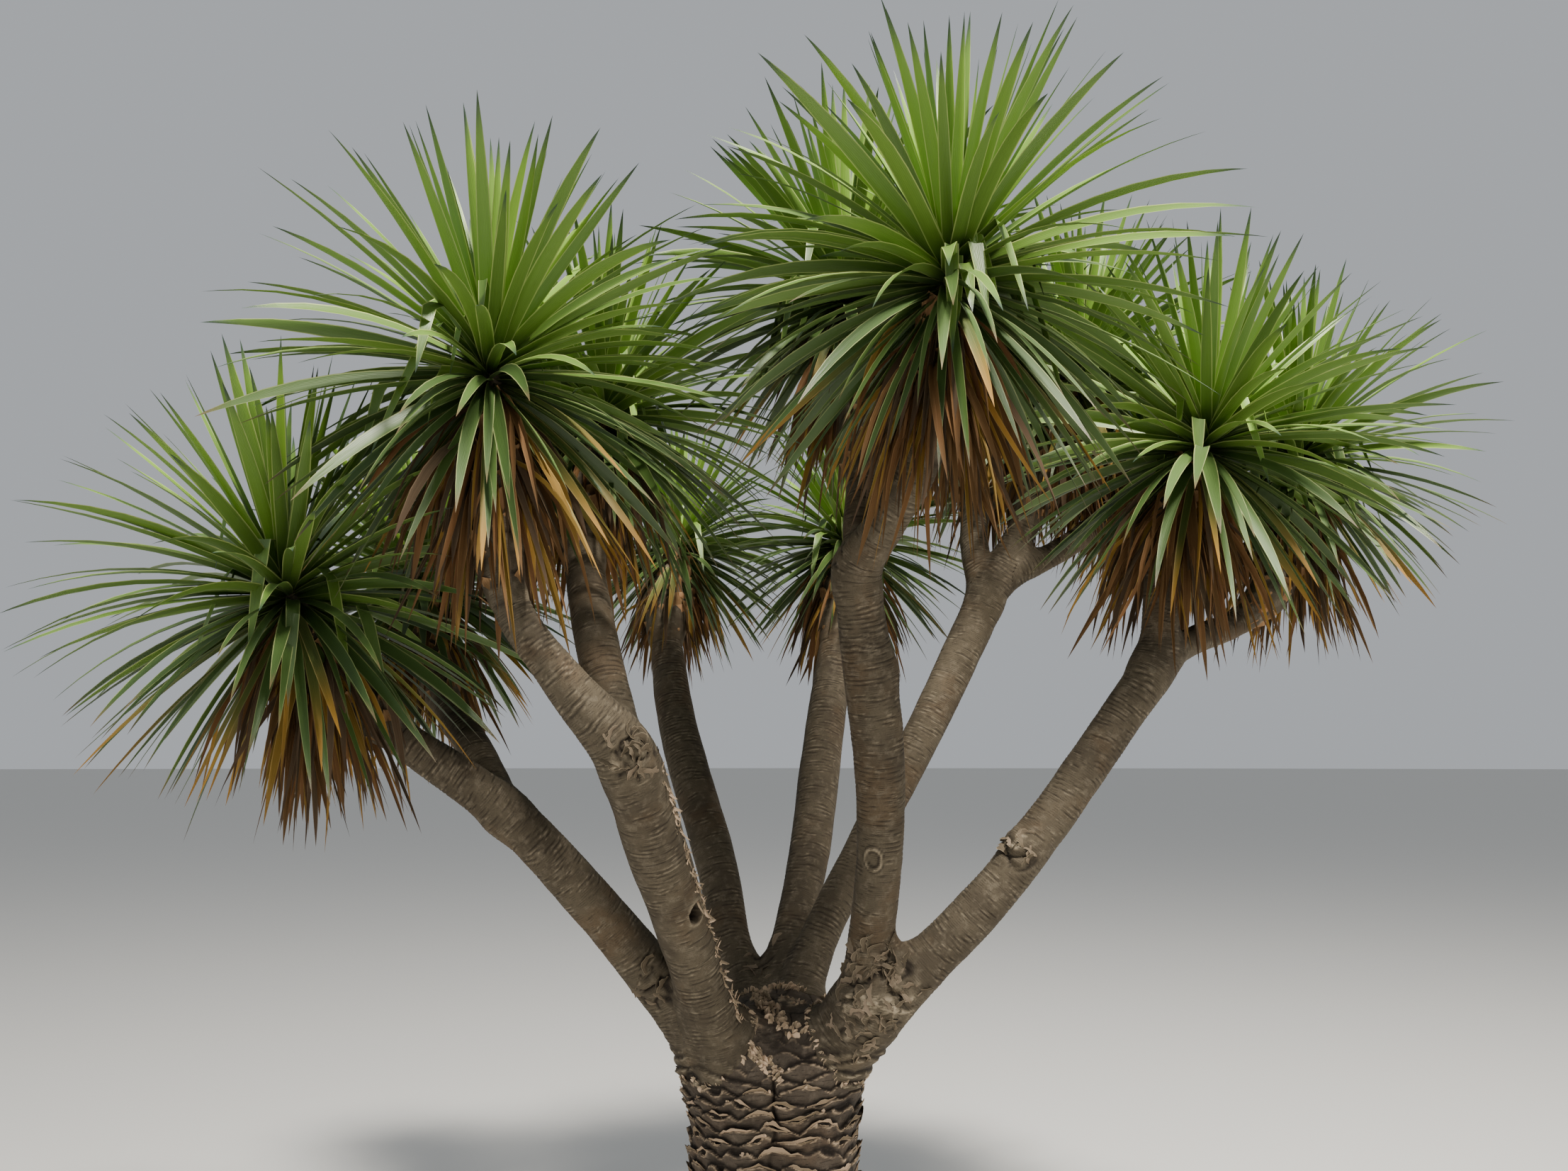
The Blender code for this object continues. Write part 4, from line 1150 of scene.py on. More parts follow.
# %% Dress the limbs
add_bark("bough_feet", [limb_surface(key, first, last) for key, line in GROWTH.items()
                        for piece, first, last in line["pieces"] if piece == "trunk"],
         BOUGH_BARK, ["trunk"])
for key, line in GROWTH.items():
    for limb, first, last in line["pieces"][:-1]:
        if limb != "trunk":
            add_bark(limb + "_bark", [limb_surface(key, first, last)], BOUGH_BARK, [limb])

# %% [markdown]
# ## The leaves' rule
#
# A tuft's stem carries its youngest leaves at the top. Each older leaf leaves the stem a little
# lower and further round, by the golden angle, and leans further out, until the lowest hang
# down dead. It is the rule that placed the few broad stand-in leaves of the model, with eleven
# times as many leaves of their true width. A few young ones are broken and fold over. Curves
# or a particle system could scatter them too, but then they would not know the wood: here a
# leaf that would pass through a limb is drawn again, and left out if it finds no clear place.

# %% The tufts and their stems
GREEN_LEAVES, DEAD_LEAVES = 214, 205
LEAF_ZONE = 0.092               # length below the heart that carries the green leaves
DEAD_ZONE = 0.17                # length of stem below it that carries the dead ones
HEART_RISE = 0.036              # how far the heart's leaf bases stand above the stem's tip
STEM_SWELL, STEM_TIP = 0.45, 0.45
STEM_PULL, SKY_PULL = 0.45, 0.75                      # what a tuft's axis takes from its stem and from +Z


def stem_swell(part):
    """The stem's radius for a limb radius of 1: it swells under old leaf bases in its first
    quarter and narrows in its last third, in straight lines."""
    narrowing = 1 - (1 - STEM_TIP) * np.clip((part - 0.7) / 0.3, 0, 1)
    return (1 + STEM_SWELL * np.minimum(1, part / 0.25)) * narrowing


TUFTS = {}
for key, line in GROWTH.items():
    name, first, last = line["pieces"][-1]
    _, tangent, _ = line_at(line["points"], [last - 1e-6])
    TUFTS[name] = {"key": key, "line": line, "first": first, "last": last,
                   "start": distance_of(line, first), "end": distance_of(line, last),
                   "axis": unit(tangent[0] * STEM_PULL + SKY_PULL * UP),
                   "balls": balls_along(line, first, last, stem_swell)}
print(len(TUFTS), "tufts, leaves to place:", len(TUFTS) * (GREEN_LEAVES + DEAD_LEAVES))

# %% What chance gives each leaf
# Two numbers are limits, and one number is the spread of a bell curve round 0. Tilts and folds
# are in degrees, twist and roll in radians, and a length or a width is a share of the rule's own.
GREEN_CHANCE = {"tilt": (-6, 6), "length": (0.86, 1.03), "droop": (0.55, 1.20), "fold": (12, 28),
                "width": (0.92, 1.10), "twist": 0.30, "roll": 0.42, "sway": 0.06,
                "snap": (0, 1), "stump": (0.42, 0.80), "kink": (2.0, 4.5)}
DEAD_CHANCE = {"spread": (0, 1), "spread_tilt": (112, 146), "tilt": (148, 173), "length": (0.62, 1.20),
               "spread_droop": (1.6, 3.2), "droop": (0.2, 0.7), "fold": (18, 70), "width": (0.30, 0.82),
               "twist": 1.1, "roll": 0.9, "sway": 0.24, "bend": (0, 1), "kink": (1.0, 3.0)}
SEAT_CHANCE = {"turn": (-0.25, 0.25), "kink_at": (0.30, 0.62), "tone": (0, 1), "luck": (0, 1)}
SNAPPED_SHARE, SPREAD_SHARE, BENT_SHARE = 0.13, 0.30, 0.30


def draw_chance(draw, table, count):
    """One random number a leaf for each word of a table, in its order."""
    return {word: draw.uniform(*limits, count) if isinstance(limits, tuple) else draw.normal(0, limits, count)
            for word, limits in table.items()}


print("numbers drawn for a green leaf:", len(GREEN_CHANCE) + len(SEAT_CHANCE))

# %% Green leaves
LEAF_WIDTH_RATIO = 0.056
STEEPEST_LEAF, LOWEST_LEAF = math.radians(5), math.radians(142)
SPREAD_POWER = 0.84
LEAF_DROOP = 0.70
YOUNG_LENGTH_RATIO = 0.86       # of the upright leaves
HEART_LENGTH_RATIO = 0.70       # of those that have only just opened
LOWEST_LENGTH_RATIO = 0.84


def green_leaves(numbers, longest, draw):
    """Living leaves. age runs from 0 at the heart to 1 at the lowest, the tilt from the tuft's
    axis grows as age^0.84, and the droop grows with the sine of the tilt and with age."""
    age = (numbers + 0.5) / GREEN_LEAVES
    chance = draw_chance(draw, GREEN_CHANCE, len(numbers))
    tilt = STEEPEST_LEAF + (LOWEST_LEAF - STEEPEST_LEAF) * age**SPREAD_POWER + np.radians(chance["tilt"])
    length = longest * chance["length"] * (1 - (1 - LOWEST_LENGTH_RATIO) * age**2)
    length = length * (1 - (1 - YOUNG_LENGTH_RATIO) * smooth_step(0.50, 0.04, age))
    length = length * (1 - (1 - HEART_LENGTH_RATIO) * smooth_step(0.03, 0.0, age))
    snapped = (chance["snap"] < SNAPPED_SHARE) & (age > 0.10) & (age < 0.66)
    return {"age": age, "back": LEAF_ZONE * age, "tilt": tilt,
            "length": np.where(snapped, length * chance["stump"], length),
            "width": length * LEAF_WIDTH_RATIO * chance["width"] * (1 - 0.30 * smooth_step(0.78, 1, age)),
            "droop": LEAF_DROOP * np.sin(tilt) * chance["droop"] * (0.55 + 0.65 * age),
            "fold": np.radians(chance["fold"]), "twist": chance["twist"],
            "roll": chance["roll"] * smooth_step(0.0, 0.4, age), "sway": chance["sway"],
            "kink": np.where(snapped, chance["kink"], 0.0)}


print("longest leaf", max(line["leaf"] for line in GROWTH.values()), "m, widest",
      round(1000 * LEAF_WIDTH_RATIO * max(line["leaf"] for line in GROWTH.values())), "mm")

# %% Dead leaves
DEAD_LENGTH_RATIO = 0.62


def dead_leaves(numbers, longest, draw):
    """Dead leaves. Most hang along the stem, and some spread out from it and bend down hard."""
    age = (numbers + 0.5) / DEAD_LEAVES
    chance = draw_chance(draw, DEAD_CHANCE, len(numbers))
    spread = chance["spread"] < SPREAD_SHARE
    return {"age": age, "back": LEAF_ZONE * 0.8 + DEAD_ZONE * age,
            "tilt": np.radians(np.where(spread, chance["spread_tilt"], chance["tilt"])),
            "length": longest * DEAD_LENGTH_RATIO * chance["length"],
            "width": longest * LEAF_WIDTH_RATIO * chance["width"],
            "droop": np.where(spread, chance["spread_droop"], chance["droop"]),
            "fold": np.radians(chance["fold"]), "twist": chance["twist"], "roll": chance["roll"],
            "sway": chance["sway"], "kink": np.where(chance["bend"] < BENT_SHARE, chance["kink"], 0.0)}


print("longest dead leaf", DEAD_LENGTH_RATIO * DEAD_CHANCE["length"][1], "of the longest leaf")

# %% Leaves seated on the stem
GOLDEN_ANGLE = math.pi * (3 - math.sqrt(5))


def propose(tuft, numbers, dead, draw):
    """Leaves with these numbers, seated on the tuft's stem. The turn about its axis is number x
    golden angle, and direction = cos(tilt) axis + sin(tilt) outward."""
    line, start, end, axis = tuft["line"], tuft["start"], tuft["end"], tuft["axis"]
    leaves = (dead_leaves if dead else green_leaves)(numbers, line["leaf"], draw)
    along = np.maximum(start + 0.03, end + HEART_RISE - leaves["back"])
    centre, _, radius = at_distances(line, along)
    centre = centre + np.maximum(along - end, 0)[:, None] * axis
    radius = radius * stem_swell(np.minimum((along - start) / (end - start), 1))
    chance = draw_chance(draw, SEAT_CHANCE, len(numbers))
    outward = outward_at(axis, numbers * GOLDEN_ANGLE + chance.pop("turn") + (1.0 if dead else 0.0))
    tilt = leaves["tilt"][:, None]
    return {**leaves, **chance, "root": centre + outward * radius[:, None] * 0.45,
            "direction": np.cos(tilt) * axis + np.sin(tilt) * outward,
            "side": np.cross(axis, outward), "dead": np.full(len(numbers), dead)}


print("each leaf is turned on by", round(math.degrees(GOLDEN_ANGLE), 1), "degrees")

# %% The line of each leaf
LINE_STEPS = 40


def leaf_lines(leaves, parts):
    """Points and headings down every leaf: heading = unit(direction - droop x part^1.5 x Z + sway x
    part x side - kink x Z past the kink), summed in equal steps."""
    fine = np.linspace(0, 1, LINE_STEPS + 1)
    middle = (fine[1:] + fine[:-1]) / 2

    def heading_at(part):
        """The unit heading at these parts of each leaf, by the formula above."""
        fall = leaves["droop"][:, None] * part**1.5
        fall = fall + leaves["kink"][:, None] * smooth_step(-0.03, 0.03, part - leaves["kink_at"][:, None])
        return unit(leaves["direction"][:, None, :] + fall[..., None] * -UP
                    + (leaves["sway"][:, None] * part)[..., None] * leaves["side"][:, None, :])

    steps = heading_at(middle[None, :]) * (leaves["length"][:, None, None] / LINE_STEPS)
    walked = np.concatenate([np.zeros((len(steps), 1, 3)), np.cumsum(steps, axis=1)], axis=1)
    points = leaves["root"][:, None, :] + walked
    index = parts * LINE_STEPS
    low = np.minimum(np.floor(index).astype(int), LINE_STEPS - 1)
    share = (index - low)[None, :, None]
    return points[:, low] * (1 - share) + points[:, low + 1] * share, heading_at(parts[None, :])


print("a leaf is summed in", LINE_STEPS, "steps")

# %% Leaves clear of the wood
LEAF_TRIES = 8
CLEARANCE = 0.004               # between the middle of a leaf and any wood but its own stem


def keep_clear(leaves, others):
    """True for each leaf that stays outside the wood: its line is tested at 12 points."""
    points, _ = leaf_lines(leaves, np.linspace(0.12, 1, 12))
    gap = gap_to(points.reshape(-1, 3), others).reshape(len(points), -1)
    return gap.min(axis=1) > CLEARANCE


def join_leaves(groups):
    """Several groups of leaves as one."""
    return {word: np.concatenate([group[word] for group in groups]) for word in groups[0]}


def place_leaves(tuft, others, seed):
    """All of a tuft's leaves. Those that touch wood are drawn again, a few times, then dropped."""
    draw = np.random.default_rng(seed)
    done = []
    for dead, total in ((False, GREEN_LEAVES), (True, DEAD_LEAVES)):
        numbers = np.arange(total, dtype=float)
        for _ in range(LEAF_TRIES):
            if len(numbers) == 0:
                break
            leaves = propose(tuft, numbers, dead, draw)
            clear = keep_clear(leaves, others)
            done.append({word: value[clear] for word, value in leaves.items()})
            numbers = numbers[~clear]
    return join_leaves(done)


found = []
for seed, (name, tuft) in enumerate(TUFTS.items(), start=700):
    stems = [other["balls"] for key, other in TUFTS.items() if key != name]
    found.append(place_leaves(tuft, np.concatenate([WOOD] + stems), seed))
    print(name, len(found[-1]["age"]), "leaves")
ALL_LEAVES = join_leaves(found)

# %% [markdown]
# ## A blade
#
# A sword leaf keeps its width for half its length and then narrows to a sharp tip. It is
# folded to a shallow V, and dead ones close and twist. A ring of a blade has four points: an
# edge, the middle of the upper face, the other edge and the middle of the lower face. A flat
# strip would do for a picture, but the leaf has a real thickness so that it stays closed.

# %% The shape of a blade
LEAF_THICKNESS = 0.0024
STATIONS = np.array([0.0, 0.05, 0.15, 0.28, 0.40, 0.52, 0.64, 0.76, 0.87, 0.95, 1.0])
DEAD_STATIONS = np.array([0.0, 0.08, 0.22, 0.38, 0.54, 0.70, 0.86, 1.0])


def half_width(part):
    """Half of the blade's width for a full width of 1: it widens from its root, keeps its width
    and then narrows as 1 - ((part - 0.33) / 0.67)^2.4."""
    return 0.5 * (0.62 + 0.38 * smooth_step(0, 0.14, part)) * (1 - np.clip((part - 0.33) / 0.67, 0, 1) ** 2.4)


def join_rings(corners, middle):
    """Blades as lists of points: a ring of four corners at each station, and at the last one, the
    middle alone as the tip."""
    rings = np.stack(corners, axis=2)[:, :-1]
    return np.concatenate([rings.reshape(len(rings), -1, 3), middle[:, -1:]], axis=1)


def leaf_points(leaves, parts):
    """Every leaf's points. With side and up square to the heading and turned by the twist, an edge
    is centre +- half cos(fold) side + half sin(fold) up."""
    centre, heading = leaf_lines(leaves, parts)
    side = square_to(leaves["side"][:, None, :], heading)
    up = np.cross(heading, side)
    turn = (leaves["roll"][:, None] + leaves["twist"][:, None] * parts)[..., None]
    side, up = np.cos(turn) * side + np.sin(turn) * up, np.cos(turn) * up - np.sin(turn) * side
    half = (half_width(parts)[None, :] * leaves["width"][:, None])[..., None]
    fold = (leaves["fold"][:, None] * (1 - 0.45 * parts))[..., None]
    thick = (LEAF_THICKNESS * (1 - 0.6 * parts))[None, :, None] / 2
    spread = half * np.cos(fold) * side
    raised = half * np.sin(fold) * up
    corners = [centre + spread + raised, centre + thick * up, centre - spread + raised, centre - thick * up]
    return join_rings(corners, centre)


print("half width of a blade at its stations:", half_width(STATIONS).round(2))


# %% Many blades as one piece
def leaf_faces(stations):
    """The faces of one leaf: quads between its rings and a cap on its root, and a fan to its tip."""
    ring = np.arange(stations - 2)[:, None] * 4
    corner = np.arange(4)[None, :]
    after = (corner + 1) % 4
    quads = np.stack([ring + corner, ring + after, ring + 4 + after, ring + 4 + corner], axis=-1)
    top = (stations - 2) * 4
    tips = np.stack([top + corner[0], top + after[0], np.full(4, top + 4)], axis=-1)
    return np.concatenate([quads.reshape(-1, 4), [[3, 2, 1, 0]]]), tips


def add_blades(name, groups, stations, material, nodes):
    """One piece from groups of blades, each with its points and a tone for every blade. Attributes
    hold each point's place on its blade."""
    points, tone = (np.concatenate(parts) for parts in zip(*groups))
    count, each = points.shape[:2]
    offset = (np.arange(count) * each)[:, None, None]
    faces = [(part[None] + offset).reshape(-1, part.shape[1]) for part in leaf_faces(len(stations))]
    along = np.append(np.repeat(stations[:-1], 4), 1.0)
    across = np.append(np.tile([1.0, 0.0, -1.0, 0.0], len(stations) - 1), 0.0)
    masks = {"along": np.tile(along, count), "across": np.tile(across, count), "tone": np.repeat(tone, each)}
    piece = add_piece(name, points.reshape(-1, 3), faces, masks, material)
    take_place(piece, 50, nodes)


print("a blade of 11 stations has", sum(map(len, leaf_faces(11))), "faces")


# %% Leaves of each age
def leaf_ages(leaves):
    """A word for each leaf, by its age and its own luck."""
    age, luck, dead = leaves["age"], leaves["luck"], leaves["dead"]
    blurred = age + 0.12 * (luck - 0.5)
    drying = (age > 0.86) & (luck > 0.62) | (age > 0.74) & (luck > 0.95)
    tests = [dead & (luck < 0.20), dead & (luck < 0.66), dead, drying, blurred < 0.26, blurred < 0.62]
    return np.select(tests, ["straw", "rust", "grey", "drying", "young", "grown"], "old")


AGES = leaf_ages(ALL_LEAVES)
for age, material in LEAF_FINISHES.items():
    chosen = {word: value[AGES == age] for word, value in ALL_LEAVES.items()}
    stations = DEAD_STATIONS if chosen["dead"].all() else STATIONS
    add_blades("leaves_" + age, [(leaf_points(chosen, stations), chosen["tone"])], stations, material,
               list(TUFTS))

# %% [markdown]
# ## Stems inside the tufts
#
# Under the leaves the stem is thicker, because the bases of lost leaves stay on it as short,
# clasping stubs. A plain cone would be hidden from most sides, but the stem shows from below,
# so it goes on with the limb's own rings of points. The stubs are small curled plates on the
# same golden-angle spiral as the leaves.

# %% Stems
add_bark("tuft_stems", [limb_surface(tuft["key"], tuft["first"], tuft["last"], stem_swell)
                        for tuft in TUFTS.values()], BOUGH_BARK, list(TUFTS))

# %% Small plates
PLATE_STATIONS = np.array([0.0, 0.40, 0.80, 1.0])


def plate_points(root, way, outward, length, width, lift, thick):
    """Small curved plates of four rings that end in a point: root + way x reach + outward x lift x
    reach^1.5, with edges that bend back towards the surface that the plate grows from."""
    outward = square_to(outward, way)
    across = np.cross(outward, way)[:, None, :]
    outward = outward[:, None, :]
    part = PLATE_STATIONS[None, :, None]
    middle = (root[:, None, :] + way[:, None, :] * length[:, None, None] * part
              + outward * (lift * length)[:, None, None] * part**1.5)
    half = width[:, None, None] * (0.5 - 0.22 * part)
    edge = middle - outward * half * 0.35
    skin = thick * (1.1 - 0.5 * part) * outward
    return join_rings([edge + across * half, middle + skin, edge - across * half, middle - skin], middle)


print("a plate has", sum(map(len, leaf_faces(len(PLATE_STATIONS)))), "faces")


# %% Old leaf bases
def stem_bases(tuft, count, seed):
    """Stubs of lost leaves on the stem below the green leaves, on the leaves' own spiral."""
    draw = np.random.default_rng(seed)
    start, end = tuft["start"], tuft["end"]
    numbers = np.arange(count)
    along = start + (end - start - LEAF_ZONE) * (numbers + 0.5) / count
    centre, tangent, radius = at_distances(tuft["line"], along)
    radius = radius * stem_swell((along - start) / (end - start))
    outward = outward_at(tangent, numbers * GOLDEN_ANGLE + draw.uniform(-0.3, 0.3, count))
    points = plate_points(centre + outward * radius[:, None] * 0.92, tangent, outward,
                          draw.uniform(0.030, 0.060, count), radius * draw.uniform(0.8, 1.2, count),
                          draw.uniform(0.15, 0.45, count), 0.0025)
    return points, draw.random(count)


stubs = [stem_bases(tuft, 64, 900 + number) for number, tuft in enumerate(TUFTS.values())]
add_blades("old_leaf_bases", stubs, PLATE_STATIONS, LEAF_BASE, list(TUFTS))

# %% [markdown]
# ## Chips and a peeling fringe
#
# Old bark ends in thin torn edges that stand free of it. Bark peels off one edge of the front
# bough, and broken leaf bases lie in the seams of the fork and here and there on the scales'
# lips. Relief on the bark's own grid would smear such edges, and a picture of them would
# vanish in the outline. So each one is a small closed plate with its root under the bark.


# %% Peeling fringe
def fringe_plates(count, seed):
    """Strips of bark that peel off the front bough along its right edge, up and outwards."""
    draw = np.random.default_rng(seed)
    line = GROWTH["front"]
    centre, tangent, radius = at_distances(
        line, draw.uniform(distance_of(line, 0.45), distance_of(line, 2.85), count))
    outward = square_to(np.array([0.97, -0.22, 0.0]) + draw.normal(0, 0.10, (count, 3)), tangent)
    way = unit(tangent * draw.choice([-1.0, 1.0], count, p=[0.65, 0.35])[:, None]
               + np.cross(tangent, outward) * draw.normal(0, 0.60, count)[:, None])
    points = plate_points(centre + outward * (radius[:, None] - 0.001), way, outward,
                          draw.uniform(0.006, 0.030, count), draw.uniform(0.004, 0.011, count),
                          draw.uniform(0.05, 0.70, count), 0.0011)
    return points, draw.random(count)


add_blades("peeling_fringe", [fringe_plates(170, 950)], PLATE_STATIONS, FLAKE, ["bough_front"])

# %% Where chips lie
CHIP_PATH_WIDTH = 0.013
FORK_SEAMS = [[(-0.050, 1.050), (0.000, 1.010), (0.068, 0.965)],
              [(-0.085, 0.975), (-0.030, 0.925), (0.024, 0.872)]]


def near_path(grid, path):
    """True for points in front of the trunk within 13 mm of a path of x and z, as seen from there."""
    found = np.zeros(grid.shape[:2], dtype=bool)
    for start, end in zip(path, path[1:]):
        step = np.subtract(end, start)
        place = grid[..., [0, 2]] - start
        share = np.clip((place @ step) / (step @ step), 0, 1)
        found |= ((place - share[..., None] * step) ** 2).sum(axis=-1) < CHIP_PATH_WIDTH**2
    return found & (grid[..., 1] < 0.06)


def chip_plates(count, seed, chosen, upright, size):
    """Broken chips of old leaf bases at chosen points of the column; upright is how much they
    point up instead of to the sides, and size scales them."""
    draw = np.random.default_rng(seed)
    picked = draw.choice(np.flatnonzero(chosen), count, replace=False)
    root = COLUMN[..., :3].reshape(-1, 3)[picked]
    normal = COLUMN_OUTWARD.reshape(-1, 3)[picked]
    level = unit(np.cross(UP, normal))
    way = unit(level * draw.normal(0, 0.8, count)[:, None] + upright * UP)
    points = plate_points(root - 0.003 * normal, way, normal, size * draw.uniform(0.6, 1.3, count),
                          size * draw.uniform(0.9, 1.9, count), draw.uniform(0.20, 0.80, count), 0.0016)
    return points, draw.random(count)


height, lip = COLUMN[..., 2], COLUMN[..., 5]
on_lips = (lip > 0.6) & (height > 0.02)
in_forks = (COLUMN_MEET > 0.6) & (height > 0.80) & (value_noise(COLUMN[..., :3], 0.12, 28) > -0.45)
print("points for chips: on lips", on_lips.sum(), "and in forks", in_forks.sum())

# %% Chips in the seams
add_blades("trunk_chips", [chip_plates(260, 960, on_lips, 1.3, 0.008),
                           chip_plates(560, 961, in_forks, 0.8, 0.012),
                           chip_plates(130, 963, near_path(COLUMN, FORK_SEAMS[0]), 0.8, 0.014),
                           chip_plates(150, 964, near_path(COLUMN, FORK_SEAMS[1]), 0.8, 0.015)],
           PLATE_STATIONS, FLAKE, ["trunk"])

# %% [markdown]
# ## Rims of the scales
#
# A scale's upper edge is a thin pale rim, torn to uneven heights, and another rim runs round
# the lower side of its pocket. The relief can't be that thin. So each rim is a blade laid on
# its side: it runs along the edge that the scale's own formulas give, and stands up from it.

# %% Rims along a line
RIM_STATIONS = np.linspace(0, 1, 10)
RIM_ROOT = 0.002                # how deep a rim's foot is in the bark


def column_places(across, rise):
    """Where scale numbers lie on the dressed column, and the outward direction there. The noise
    that bends the scales is undone by repeated steps."""
    angle, height = across * 2 * math.pi / SCALES_AROUND, rise * SCALE_RISE
    for _ in range(12):
        points = on_column(height, angle, column_radius(height, angle))
        bend_across, bend_rise = scale_bend(points)
        angle = (across - bend_across) * 2 * math.pi / SCALES_AROUND
        height = (rise - bend_rise) * SCALE_RISE
    return points, np.stack([np.cos(angle), np.sin(angle), 0 * angle], axis=-1)


def rim_points(place, way, tall, thick):
    """Blades that run along lines of places and stand this tall from them in the given way; their
    skin lies square to the line and to that way."""
    base = place - RIM_ROOT * way
    top = base + way * (tall + RIM_ROOT)[..., None]
    skin = unit(np.cross(np.gradient(place, axis=1), way)) * thick
    centre = (base + top) / 2
    return join_rings([top, centre + skin, base, centre - skin], centre)


print("scale 0 of row 10 starts at", column_places(np.zeros(1), np.full(1, 10.0))[0].round(3))

# %% Rims on every scale
row, column = np.meshgrid(np.arange(1, round(0.86 / SCALE_RISE)), np.arange(SCALES_AROUND), indexing="ij")
SCALE_ROW, SCALE_COLUMN = (numbers.reshape(-1, 1).astype(float) for numbers in (row, column))
SCALE_LUCK = scale_luck(SCALE_COLUMN, SCALE_ROW)


def rims_at(x, drop, tall, keep, draw):
    """Rims on the scales that keep marks, at places x across them and this many rows below their
    arch. They lean out from the face by an amount that noise varies."""
    arch = scale_arch(x, SCALE_LUCK)
    across = x + SCALE_COLUMN + 0.5 * np.mod(SCALE_ROW, 2)
    place, outward = column_places(across, SCALE_ROW + arch - drop)
    face = scale_face(x, 1 - drop / arch, SCALE_LUCK)
    lean = 0.55 + 0.75 * value_noise(place, 0.022, 51)
    way = unit(outward * lean[..., None] + UP)
    points = rim_points(place + outward * (face - 0.0025)[..., None], way, tall, 0.0012)
    points = points[keep[:, 0] & (place[..., 2].max(axis=1) < 0.875) & (place[..., 2].min(axis=1) > 0.01)]
    return points, draw.random(len(points))


def edge_rims(draw):
    """Rims on the upper edges. The height is a half sine, torn by chance."""
    low, high = draw.uniform(-0.50, -0.25, SCALE_ROW.shape), draw.uniform(0.25, 0.50, SCALE_ROW.shape)
    x = low + (high - low) * RIM_STATIONS
    tall = 0.0085 * np.sin(math.pi * (0.06 + 0.88 * RIM_STATIONS)) * draw.uniform(0.35, 1.35, x.shape)
    return rims_at(x, 0.03, tall, draw.random(SCALE_ROW.shape) < 0.85, draw)


def pocket_rims(draw):
    """Rims round the lower side of the pockets, along drop x sqrt(1 - u^2) for u from -1 to 1."""
    middle, half = pocket_of(SCALE_LUCK)
    u = np.linspace(-1, 1, len(RIM_STATIONS))
    x = middle + half * u
    tall = 0.0048 * (1 - u**4) * draw.uniform(0.5, 1.3, x.shape)
    keep = (half > 0) & (draw.random(SCALE_ROW.shape) < 0.75)
    return rims_at(x, POCKET_DROP * np.sqrt(np.clip(1 - u**2, 0, 1)), tall, keep, draw)


draw = np.random.default_rng(962)
add_blades("scale_rims", [edge_rims(draw), pocket_rims(draw)], RIM_STATIONS, SCALE_RIM,
           ["trunk"])

# %% [markdown]
# ## Torn strips
#
# Over a wound the bark has crumpled into torn, curling strips. Cloth physics could crumple a
# sheet, but not so that it clings to this bark. Here each strip is found by walking: it steps
# over the bark, turns a little at each step, and is drawn back to the bark's nearest point.

# %% Torn strips on the wounds
TORN_STRIPS = {"fork": 62, "fork_band": 14, "front_fork": 18, "left_knot": 9, "right_knot": 9,
               "back_fork": 14, "back_scar": 6, "back_left_scar": 6}
STRIP_STEP = 0.0058
STRIP_HEIGHT = 0.0160
STRIP_SLANT = 0.62              # how far a strip's edge is turned out from the bark, of 1 along it


def bark_walks(cloud, wood, count, draw):
    """Lines of places on the bark and the way in which a strip's edge is raised at each. A step is
    heading x 5.8 mm, where the heading turns by the strip's own curl."""
    here = cloud[draw.integers(0, len(cloud), count)]
    heading = unit(draw.normal(0, 0.7, (count, 3)) + UP)
    curl = draw.normal(0, 0.17, count)
    walk, ways = [], []
    for _ in RIM_STATIONS:
        away = ((here[:, None] - wood[None, :, :3]) ** 2).sum(axis=-1) - wood[None, :, 3] ** 2
        outward = unit(here - wood[away.argmin(axis=1), :3])
        heading = square_to(heading, outward)
        heading = unit(heading + np.cross(outward, heading) * curl[:, None])
        walk.append(here - RIM_ROOT * outward)
        ways.append(unit(STRIP_SLANT * outward + np.cross(outward, heading)))
        ahead = here + heading * STRIP_STEP
        nearest = cloud[((ahead[:, None] - cloud[None]) ** 2).sum(axis=-1).argmin(axis=1)]
        here = ahead + outward * (((nearest - ahead) * outward).sum(-1, keepdims=True))
    return np.stack(walk, axis=1), np.stack(ways, axis=1)


def torn_strips(seed):
    """Crumpled strips of bark on the wounds. Each lies aslant, one edge in the bark and the other
    raised, by a half sine that chance tears."""
    draw = np.random.default_rng(seed)
    bark = np.concatenate(BARK_POINTS)
    for name, count in TORN_STRIPS.items():
        middle, reach = WOUNDS[name][:3], WOUNDS[name][3]
        cloud = bark[((bark - middle) ** 2).sum(axis=1) < reach**2]
        cloud = cloud[(gap_to(cloud, WOOD) > -0.004) & (column_distance(cloud) > -0.004)]
        wood = WOOD[((WOOD[:, :3] - middle) ** 2).sum(axis=1) < (reach + 0.35) ** 2]
        walk, ways = bark_walks(cloud, wood, count, draw)
        tall = STRIP_HEIGHT * np.sin(math.pi * (0.08 + 0.88 * RIM_STATIONS))
        tall = tall * draw.uniform(0.5, 1.2, (count, 1)) * draw.uniform(0.55, 1.25, walk.shape[:2])
        yield rim_points(walk, ways, tall, 0.0016), draw.random(count)


add_blades("torn_strips", list(torn_strips(965)), RIM_STATIONS, TORN_BARK, ["trunk"])

# %% [markdown]
# ## Camera, light and ground
#
# The camera stands at eye height where the photo was taken from and looks up by seven
# degrees. The tree is shown on a plain pale ground in soft studio light. A picture of a sky
# could light it, but one key light, a weak fill and an even sky show the bark's relief clearly.
# The ground is a disc so wide that its edge is the horizon.

# %% Camera
FLOOR_RADIUS = 300
LENS, SENSOR_WIDTH = 32, 36     # millimetres
EYE = (0.035, -3.5, 1.6)
LOOK_UP = math.radians(7.16)


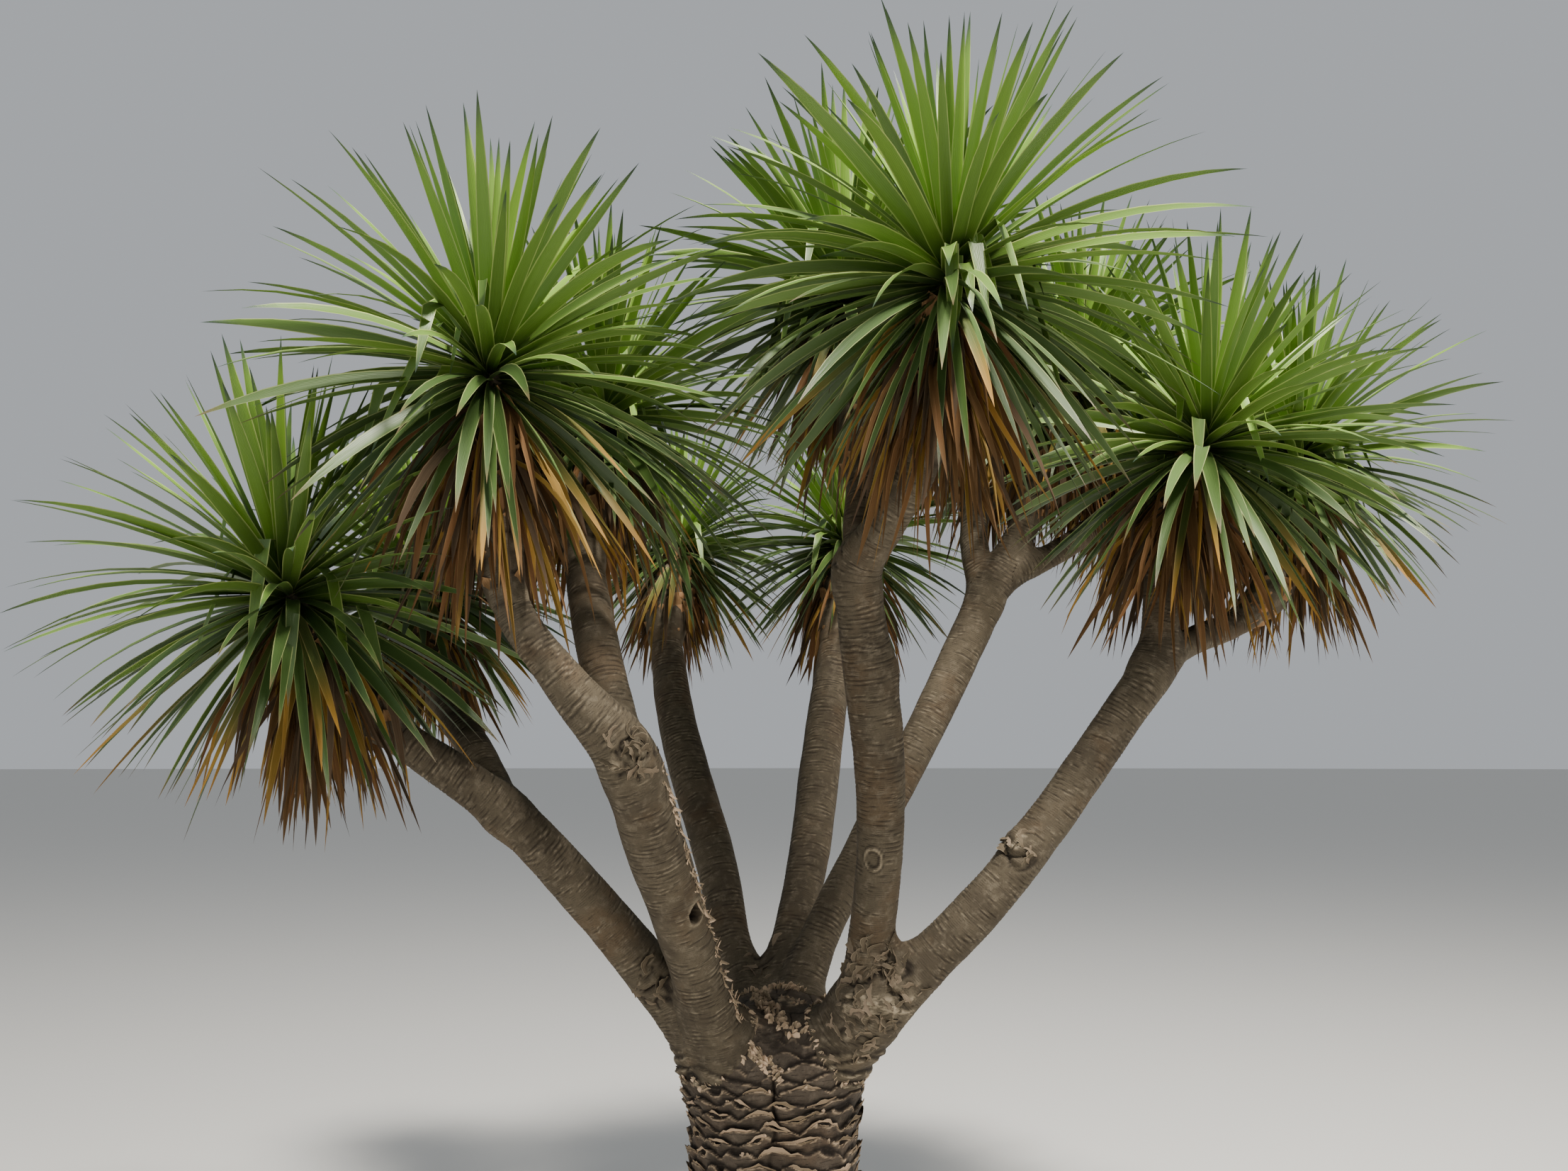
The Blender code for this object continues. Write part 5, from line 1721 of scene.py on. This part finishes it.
def put(data, location, turn):
    """An object for a camera or a light, at its place in the scene."""
    thing = bpy.data.objects.new(data.name, data)
    thing.location = location
    thing.rotation_euler = turn
    bpy.context.scene.collection.objects.link(thing)
    return thing


def add_camera():
    """A camera in front of the trunk that looks along +Y and a little up."""
    data = bpy.data.cameras.new("eye_level")
    data.lens = LENS
    data.sensor_width = SENSOR_WIDTH
    data.dof.use_dof = False
    data.clip_end = 2 * FLOOR_RADIUS
    bpy.context.scene.camera = put(data, EYE, (math.pi / 2 + LOOK_UP, 0, 0))


add_camera()
print("camera at", EYE)

# %% Light
CROWN_MIDDLE = (0.0, 0.0, 1.8)


def add_area(name, location, size, power, color):
    """A square light that faces the crown."""
    data = bpy.data.lights.new(name, "AREA")
    data.size = size
    data.energy = power
    data.color = color
    away = Vector(location) - Vector(CROWN_MIDDLE)
    put(data, location, away.to_track_quat("Z", "Y").to_euler())


def add_world(color, strength):
    """An even pale sky."""
    world = bpy.data.worlds.new("pale_sky")
    world.use_nodes = True
    background = world.node_tree.nodes["Background"]
    plug(world.node_tree, background.inputs, {"Color": (*color, 1), "Strength": strength})
    bpy.context.scene.world = world


add_world((0.86, 0.90, 0.95), 0.50)
add_area("key_light", (2.8, -3.0, 8.6), 1.3, 2200, (1.0, 0.95, 0.87))
add_area("fill_light", (-6.0, -5.0, 4.0), 5.0, 70, (0.92, 0.96, 1.0))
print("a key light, a fill light and a pale sky")

# %% Ground
GROUND_COLOR = (0.62, 0.61, 0.58, 1)
GROUND_SIDES, GROUND_LEVEL = 96, -0.001


def add_floor():
    """A plain pale disc, just below the ground level of the tree."""
    angles = np.linspace(0, 2 * math.pi, GROUND_SIDES, endpoint=False)
    level = np.full(GROUND_SIDES, GROUND_LEVEL)
    points = np.stack([FLOOR_RADIUS * np.cos(angles), FLOOR_RADIUS * np.sin(angles), level], axis=-1)
    material, tree, shader = new_material("pale_ground", GROUND_COLOR)
    plug(tree, shader.inputs, {"Base Color": GROUND_COLOR, "Roughness": 0.9})
    add_piece("ground", points, [np.arange(GROUND_SIDES)[None, :]], {}, material)


add_floor()
